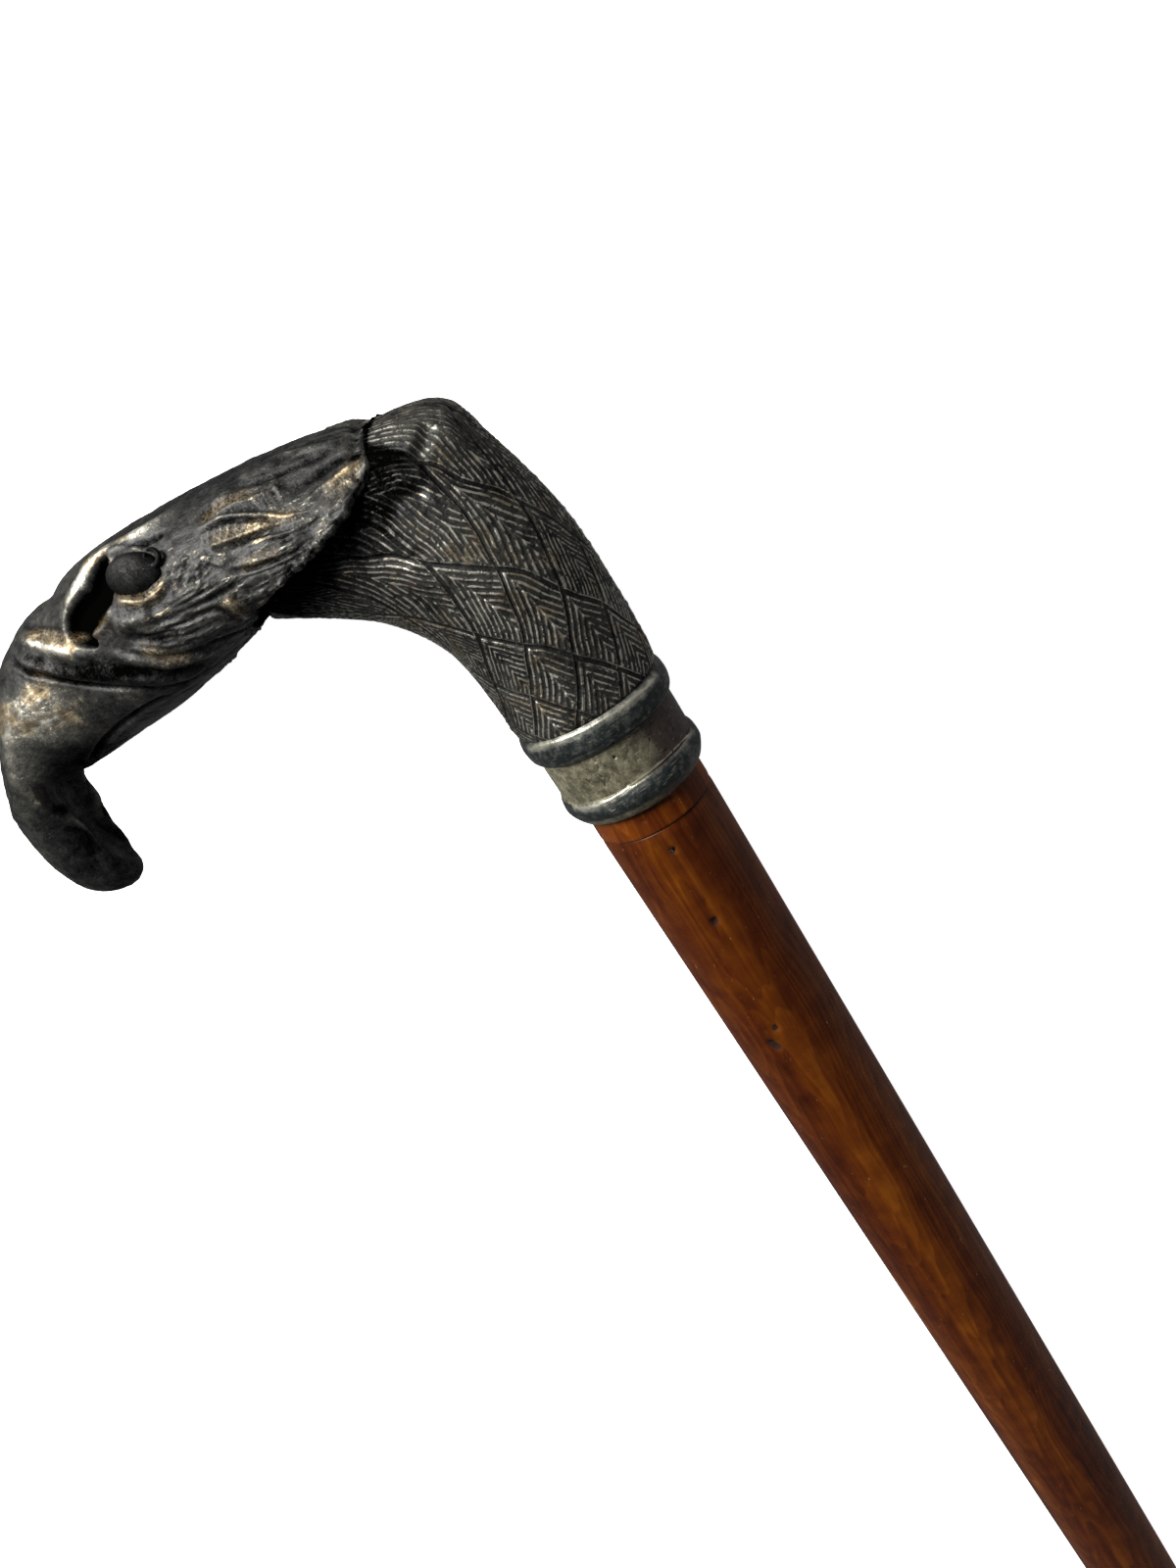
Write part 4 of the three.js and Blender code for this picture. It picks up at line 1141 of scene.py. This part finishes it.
def locks(upper, lower, count, half_width, height, waver):
    """Wavy strands that run beside each other between two guide lines."""
    upper, lower = resampled(upper, 14), resampled(lower, 14)
    for k in range(count):
        share = (k + 0.5) / count + chance.normal(0, 0.15 / count)
        start, end = chance.uniform(0, 0.18), chance.uniform(0.82, 1)
        strand = curve(upper + (lower - upper) * share, np.linspace(start, end, 12))
        way = strand[-1] - strand[0]
        sideways = np.array((-way[1], way[0])) / np.linalg.norm(way)
        wave = np.sin(np.linspace(0, 9, 12) + chance.uniform(0, 6)) * waver
        press(half_width * chance.uniform(0.8, 1.2), height * chance.uniform(0.8, 1.8),
              strand + sideways * wave[:, None], "sharp", 0.3)


def barbs_between(upper, lower, count, half_width, height, bow=0.0):
    """Short barbs that cross from one guide line to another."""
    upper, lower = resampled(upper, count), resampled(lower, count)
    for k in range(count):
        a, b = upper[k], lower[k]
        middle = (a + b) / 2 + np.array([(b - a)[1], -(b - a)[0]]) * bow
        press(half_width, height * chance.uniform(0.9, 1.8), [a, middle, b], "sharp", 0.2)


# The broad forms of the face, from the brow down to the jaw.
brow_line = [(57, 637), (63, 625), (71, 613), (80.5, 597), (87, 585), (94, 574), (103, 567.5),
             (115, 559.5), (134, 550), (150, 540.5), (166, 529), (182, 519), (194, 513)]
lower_lid = [(114, 607), (126, 611.5), (145, 613), (158, 606), (164.5, 594), (165, 582)]
eye_socket = [(109, 578), (107.5, 590), (114, 602), (128, 608), (145, 609), (158, 602), (163, 590),
              (163, 578)]
for half_width, height, pixels, fade in [
        (1.9, 0.7, brow_line, 0.3),
        (0.9, -0.6, [(107, 575), (118, 566.5), (134, 560), (152, 552), (172, 541)], 0.2),
        (0.95, 0.9, [(107, 574), (116, 566), (131, 561), (148, 559)], 0.2),
        (0.65, -0.3, eye_socket, 0.1),
        (1.4, 0.5, lower_lid, 0.25),
        (0.7, -0.3, [(120, 618), (140, 620), (158, 615), (170, 603), (172, 590)], 0.3),
        (1.5, 0.5, [(116, 618), (106, 630), (98, 641), (93, 650)], 0.2),
        (3.4, 0.6, [(112, 640), (134, 630), (158, 624)], 0.2),
        (2.3, 0.35, [(222, 500), (226, 514)], 0.35),
        (1.4, -0.5, [(200, 535), (208, 525), (219, 514)], 0.4),
        (1.8, 0.7, [(18, 649), (40, 658), (62, 664.5), (86, 667), (102, 661)], 0.25),
        (2.3, 0.75, [(14, 668), (34, 680), (62, 686), (96, 688), (128, 690), (160, 691),
                     (190, 686), (216, 678)], 0.12),
        (0.9, -0.5, [(7, 667), (28, 685), (57, 692), (86, 697.5), (115, 701), (143, 702.5),
                     (172, 701)], 0.2),
        (1.1, 0.45, [(105, 663), (124, 670), (143, 675), (172, 677), (201, 670), (228, 660),
                     (240, 655)], 0.3),
        (1.2, -0.45, [(102, 675), (118, 682), (143, 685), (172, 686), (196, 681), (220, 670)],
         0.3),
        (0.9, -0.5, [(180, 705), (161, 714.5), (142, 726), (122, 741), (107, 755), (99.5, 766),
                     (91, 779)], 0.15),
        (0.7, 0.2, [(203, 694.5), (187, 703), (153, 722), (124, 744), (107, 763)], 0.2),
        (0.8, -0.3, [(22, 638), (44, 642), (66, 646)], 0.3)]:
    press(half_width, height, pixels, fade=fade)
trough = dished(-1.7, [(105, 573), (101, 584), (99, 596), (99, 608), (92, 621), (81, 632),
                       (76, 641), (83, 649), (95, 656)],
                [1.1, 1.4, 2.0, 2.8, 3.1, 2.8, 2.1, 1.4, 0.8])

# The hook: a hollow under the beak between two rolled edges.
for half_width, height, pixels in [
        (1.5, -0.8, [(40, 798), (46, 812), (58, 823), (72, 829)]),
        (1.2, 0.35, [(60, 834), (77, 839), (91, 851), (105, 873), (117, 894)]),
        (0.8, 0.2, [(0, 821), (14, 838), (28, 855), (42, 872)]),
        (1.1, -0.3, [(6, 838), (20, 858), (34, 876)])]:
    press(half_width, height, pixels)

# The ruff's large locks, and the grooves between them.
for half_width, height, pixels in [
        (0.55, 0.38, [(201, 541), (220, 530), (241, 526), (268, 526), (295, 527), (322, 516)]),
        (0.5, -0.3, [(203, 545), (222, 534), (243, 530.5), (268, 530), (292, 531)]),
        (0.5, 0.3, [(204, 560), (233, 551.5), (260, 541), (295, 531)]),
        (0.7, -0.35, [(205, 565), (236, 557), (264, 546), (292, 536)]),
        (0.5, 0.3, [(214, 528), (236, 518), (257, 511), (284, 499), (290, 494)]),
        (1.1, 0.4, [(222, 524), (244, 516), (268, 508), (286, 500)]),
        (0.8, -0.45, [(288, 512), (303, 500), (322, 487), (343, 471), (362, 463), (386, 450)]),
        (0.9, 0.35, [(300, 521), (322, 503), (345, 487), (366, 472), (384, 458)]),
        (0.7, -0.3, [(268, 552), (296, 548), (318, 536), (336, 520)]),
        (0.8, 0.35, [(240, 578), (268, 571), (295, 560), (316, 541)]),
        (0.6, -0.3, [(226, 585), (255, 580), (285, 570), (310, 556)]),
        (1.8, 0.35, [(187, 616), (206, 606), (228, 592), (241, 580)]),
        (0.7, -0.35, [(190, 624), (210, 614), (232, 602), (250, 590)]),
        (0.9, 0.3, [(228, 612), (244, 622), (256, 630)]),
        (0.8, -0.35, [(172, 640), (196, 630), (226, 622), (250, 634)]),
        (0.8, 0.3, [(196, 652), (222, 640), (248, 632), (262, 622)]),
        (0.7, -0.3, [(206, 660), (232, 650), (256, 640)]),
        (1.2, 0.35, [(120, 640), (140, 634), (160, 628), (176, 616)]),
        (0.9, -0.4, [(124, 652), (146, 650), (168, 652), (190, 650)]),
        (1.0, 0.3, [(270, 470), (300, 462), (330, 455), (352, 448)]),
        (1.3, 0.3, [(240, 490), (262, 480), (286, 470)]),
        (0.7, -0.3, [(236, 500), (262, 492), (288, 482), (316, 470), (348, 456)]),
        (0.7, 0.3, [(318, 441), (345, 436), (372, 432), (392, 434)])]:
    press(half_width, height * 0.9, pixels)

# Fine feathers between those locks: barbs, hatching and long wavy strands.
barbs_between([(206, 543), (222, 533), (245, 529), (266, 529), (280, 530)],
              [(204, 559), (222, 554), (240, 548), (258, 541), (276, 534)], 12, 0.3, 0.17, 0.18)
barbs_between([(222, 522), (240, 514), (262, 506), (284, 495)],
              [(228, 526), (250, 521), (272, 520), (292, 510)], 13, 0.28, 0.12, 0.05)
barbs_between([(258, 505), (270, 499), (286, 492)],
              [(266, 520), (278, 516), (294, 506)], 6, 0.28, 0.12, 0.05)
barbs_between([(262, 496), (274, 490), (282, 486)],
              [(292, 500), (290, 508), (286, 514)], 6, 0.28, 0.1)
locks([(210, 552), (226, 554), (244, 562)],
      [(200, 568), (216, 576), (234, 580)], 9, 0.3, 0.15, 0.6)
locks([(246, 556), (270, 548), (300, 540), (322, 524)],
      [(242, 580), (268, 576), (296, 566), (316, 550)], 11, 0.3, 0.15, 0.6)
locks([(300, 520), (326, 500), (352, 480), (384, 452)],
      [(318, 548), (336, 528), (354, 506), (384, 476)], 14, 0.3, 0.15, 0.7)
locks([(236, 588), (264, 580), (290, 570), (308, 560)],
      [(256, 628), (268, 620), (282, 606), (298, 586)], 14, 0.3, 0.15, 0.6)
locks([(150, 626), (180, 606), (206, 592), (228, 582)],
      [(176, 640), (204, 624), (228, 610), (250, 596)], 10, 0.35, 0.13, 0.5)
locks([(166, 616), (186, 602), (210, 586), (226, 574)],
      [(172, 628), (192, 612), (214, 598), (232, 584)], 6, 0.3, 0.1, 0.4)
locks([(120, 650), (150, 640), (180, 632), (222, 622)],
      [(126, 664), (160, 668), (200, 662), (240, 640)], 11, 0.38, 0.17, 0.9)
locks([(226, 606), (238, 612), (250, 620)],
      [(222, 614), (234, 626), (248, 632)], 7, 0.3, 0.14, 0.3)
locks([(190, 690), (216, 680), (238, 662), (262, 634)],
      [(200, 698), (224, 686), (246, 668), (266, 642)], 5, 0.35, 0.16, 0.6)
locks([(232, 468), (262, 450), (300, 436), (340, 424)],
      [(236, 498), (266, 484), (300, 470), (350, 450)], 9, 0.45, 0.07, 1.2)
locks([(300, 440), (330, 430), (360, 424), (392, 422)],
      [(322, 470), (344, 460), (366, 448), (388, 440)], 8, 0.4, 0.1, 0.9)
for _ in range(46):   # small scales behind the eye
    x, y = chance.uniform(170, 212), chance.uniform(572, 604)
    press(0.42, 0.16, [(x, y), (x + 3, y - 3.5), (x + 7, y - 7)], fade=0.4)

# The rolled rim is a rough cord with cracks across it.
rim_rows = len(rim_rings)
row_number = np.repeat(np.arange(head_rows), head_sides)
rim_sway = np.array([noise.fractal(Vector(p) * 0.45, 0.8, 2.0, 4) for p in head_points])
crack = np.array([noise.noise(Vector((p[0] * 1.9, p[1] * 1.9, p[2] * 1.9 + 40)))
                  for p in head_points])
near_rim = np.exp(-((row_number - rim_rows + 1) / 5.0) ** 2)
head_relief += near_rim * (rim_sway * 0.5 - smooth(0.25, 0.5, np.abs(crack)) * 0.2)
crown = smooth(0.72, 0.95, np.tile(np.cos(head_angle), head_rows))
head_relief -= crown * near_rim * 0.7
head_relief += rim_sway * 0.06
grit = np.array([noise.fractal(Vector(p) * 1.6, 0.9, 2.0, 3) for p in head_points])
lumps = np.array([noise.fractal(Vector((p[0] * 0.8, p[1] * 0.4, p[2] * 0.8)), 0.8, 2.0, 3)
                  for p in head_points])
head_relief += grit * 0.032 + lumps * 0.055
head_relief *= smooth(2, rim_rows - 4, row_number)

# Its wear: how far each point stands above the skin round it.
grid = head_relief.reshape(head_rows, -1)
around_it = grid.copy()
for _ in range(14):
    around_it = (np.roll(around_it, 1, 1) + np.roll(around_it, -1, 1) + 2 * around_it) / 4
    around_it[1:-1] = (around_it[:-2] + around_it[2:] + 2 * around_it[1:-1]) / 4
high = (grid - around_it).ravel()
head_places = head_points + head_out * head_relief[:, None]
tip_pole = in_side_view([(16.3, 88.7)])[0]
rim_middle = (head_back[0] + head_front[0]) / 2
rim_pole = rim_middle + (head_skin[0].mean(0) - rim_middle) * 8 / 7


def spread(fade, marks):
    """How much wear, tint, painted highlight and painted shade each point has, from (reach,
    amount, line) marks.
    """
    return sum(tooled(both_cheeks, on_head.line(pixels), reach, amount, fade=fade)
               for reach, amount, pixels in marks)


# Painted highlights along the brow, the cere and the lit edges of the rim, beak and hook, and
# painted shade under the brow, cere and jaw, inside the hook and round the eye, with some wear
# between them.
rubbed = spread(0.25, [
    (8, 0.8, [(24, 690), (40, 715), (52, 740), (58, 768)]), (4, 0.3, [(110, 706), (150, 706)]),
    (1.7, 0.75, brow_line), (1.2, 0.35, lower_lid),
    (1.7, 0.7, [(24, 655), (50, 662), (88, 667)]), (6, 0.3, [(4, 700), (4, 760)]),
    (4, -0.12, [(262, 500), (240, 540), (280, 530)]),
    (2.6, 0.2, [(318, 538), (338, 512), (360, 482), (390, 449)]),
    (2.6, 0.5, [(3, 700), (5, 740), (9, 785), (26, 812)]),
    (1.5, 0.5, [(60, 832), (78, 838), (92, 850)]),
    (4, 0.4, [(8, 730), (16, 772), (32, 806), (48, 834)]),
    (7, -0.35, [(110, 740), (84, 790)]), (3.2, -0.35, [(110, 690), (190, 690), (230, 672)]),
    (2.2, -0.75, [(20, 676), (60, 687), (110, 688), (160, 692)]),
    (6, -0.3, [(52, 822), (90, 870), (112, 896)]), (2.2, -0.35, [(112, 560), (140, 548)]),
    (1.1, -0.5, eye_socket), (5, -0.15, [(330, 450), (250, 480)])])
# Painted shade in the trough in front of the eye and inside the rim's undercut.
rubbed -= 1.3 * trough + 0.9 * smooth(rim_rows - 3, rim_rows - 6, row_number)
stranded = 0.15 + 0.85 * spread(0.1, [(14, 1.0, [(150, 640), (200, 610), (262, 560), (330, 500)])])
golden = spread(0.2, [
    (1.3, 1.0, [(26, 645), (52, 650), (84, 657)]), (1.3, 0.7, lower_lid),
    (1.6, 0.6, [(112, 622), (102, 634), (95, 646)]),
    (1.6, 0.7, [(200, 536), (226, 516), (262, 500)]),
    (1.4, 0.7, [(205, 556), (250, 540), (290, 528), (312, 516)]),
    (1.2, 0.5, [(240, 580), (290, 560)]), (1.6, 0.6, [(226, 608), (252, 628)]),
    (1.8, 0.6, [(140, 660), (180, 672), (200, 668)]),
    (2.0, 0.7, [(326, 524), (340, 502), (364, 475), (386, 452)]),
    (6, 0.3, [(24, 690), (46, 724), (52, 752)])])
eagle_head = new_piece(
    "eagle_head", with_poles(head_places.reshape(head_skin.shape), rim_pole, tip_pole),
    skin_faces(head_rows, head_sides), relief=np.r_[high, 0, 0], rubbed=np.r_[rubbed, 0, 0],
    golden=np.r_[golden, 0, 0], stranded=np.r_[stranded, 0, 0])
cast_metal("cast_head_metal", base=0.04, strokes=1.3).onto(eagle_head)
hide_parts("eagle_head_handle")
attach(eagle_head, "root")


# Eyes
# The eyes are cast with the head too: smooth domes of darkened white metal, each with a small
# curled bead at its back corner.
def dome(name, middle, facing, long_way, radii, height):
    """A low oval dome that stands on the skin, with its foot sunk in it."""
    across = long_way - facing * (long_way @ facing)
    across /= np.linalg.norm(across)
    other = np.cross(facing, across)
    rows, sides = 36, 72
    turn = 2 * np.pi * np.arange(sides)[:, None] / sides
    rings = [middle + facing * height * level + np.sqrt(1 - max(level, 0) ** 2) * (
        radii[0] * np.cos(turn) * across + radii[1] * np.sin(turn) * other)
        for level in np.sin(np.linspace(-0.5, 1.54, rows))]
    return new_piece(name, with_poles(np.array(rings), None, middle + facing * height),
                     skin_faces(rows, sides), relief=np.zeros(rows * sides + 2))


def curl(name, middle, facing, flat, upright, radius, half_thickness):
    """A short bead, thinner at both ends, that is bent into a ring."""
    rows, sides = 44, 20
    turn = 2 * np.pi * np.arange(sides)[:, None] / sides
    rings = []
    for bend in np.linspace(0.5, 2 * np.pi, rows):
        share = np.clip((bend - 0.45) / (2 * np.pi - 0.4), 0.05, 0.95)
        thick = half_thickness * np.sin(share * np.pi) ** 0.3
        spoke = np.cos(bend) * flat + np.sin(bend) * upright
        rings.append(middle + facing * thick * np.sin(turn) + spoke * (
            radius + thick * np.cos(turn)))
    return new_piece(name, with_poles(np.array(rings)), skin_faces(rows, sides),
                     relief=np.full(rows * sides + 2, 0.05))


eyes = []
eye_radii, eye_height, eye_sink = (4.1, 2.85), 1.6, 0.25
curl_radius, curl_half_thickness, curl_rise = 1.0, 0.4, 0.75
eye_place, curl_place = on_head.place((136.5, 587.5)), on_head.place((158.5, 568.5))
eye_long_way = on_head.place((160, 582)) - on_head.place((112, 590))
eye_facing = np.array((-0.30, -0.12, 1.0))
eye_facing /= np.linalg.norm(eye_facing)
flat = np.cross(eye_facing, (0, 1, 0))
flat /= np.linalg.norm(flat)
upright = np.cross(eye_facing, flat)
for side, cheek in (("left", 1), ("right", -1)):
    mirror = np.array((1, 1, cheek))
    eyes += [dome(f"eye_{side}", (eye_place - (0, 0, eye_sink)) * mirror, eye_facing * mirror,
                  eye_long_way * mirror, eye_radii, eye_height),
             curl(f"curl_{side}", (curl_place + eye_facing * curl_rise) * mirror,
                  eye_facing * mirror, flat * mirror, upright * mirror, curl_radius,
                  curl_half_thickness)]
cast_metal("cast_eye_metal", grain=0.5, base=-0.32).onto(*eyes)
for piece in eyes:
    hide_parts("eagle_head_handle")
    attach(piece, "root")


# Floor, light and world
# The cane lies on a plain sheet of pale paper. A large window beyond the head lights it, and the
# bright room round it fills the shadows.
floor_mesh = bpy.data.meshes.new("floor")
span = 3.0
floor_mesh.from_pydata([(-span, -span, 0), (span, -span, 0), (span, span, 0), (-span, span, 0)],
                       [], [(0, 1, 2, 3)])
floor = bpy.data.objects.new("floor", floor_mesh)
bpy.context.scene.collection.objects.link(floor)
paper = Finish("pale_sheet")
fibre = paper.noise(paper.object_place(), 60, 3)
paper.set(Base_Color=paper.colours(fibre, (0.3, (0.88, 0.88, 0.88)), (0.7, (0.92, 0.92, 0.92))),
          Roughness=0.9, Specular_IOR_Level=0.1, Emission_Color=(1, 1, 1, 1),
          Emission_Strength=0.93)
paper.onto(floor)
floor.visible_glossy = False

window_size, window_distance, window_power = 0.55, 1.3, 60
toward_window = Vector((-0.74, -0.42, 0.56)).normalized()
beside_head = Vector(cane_start) + Vector((-0.03, -0.03, 0.01))
pane = bpy.data.lights.new("window", "AREA")
pane.shape, pane.size, pane.energy = "SQUARE", window_size, window_power
pane.color = (1.0, 0.985, 0.96)
window = bpy.data.objects.new("window", pane)
window.location = beside_head + toward_window * window_distance
window.rotation_euler = toward_window.to_track_quat("Z", "Y").to_euler()
bpy.context.scene.collection.objects.link(window)

world = bpy.data.worlds.new("room")
world.use_nodes = True
world.node_tree.nodes["Background"].inputs["Color"].default_value = (0.97, 0.985, 1.0, 1)
world.node_tree.nodes["Background"].inputs["Strength"].default_value = 0.17
bpy.context.scene.world = world
bpy.context.scene.view_settings.view_transform = "Standard"
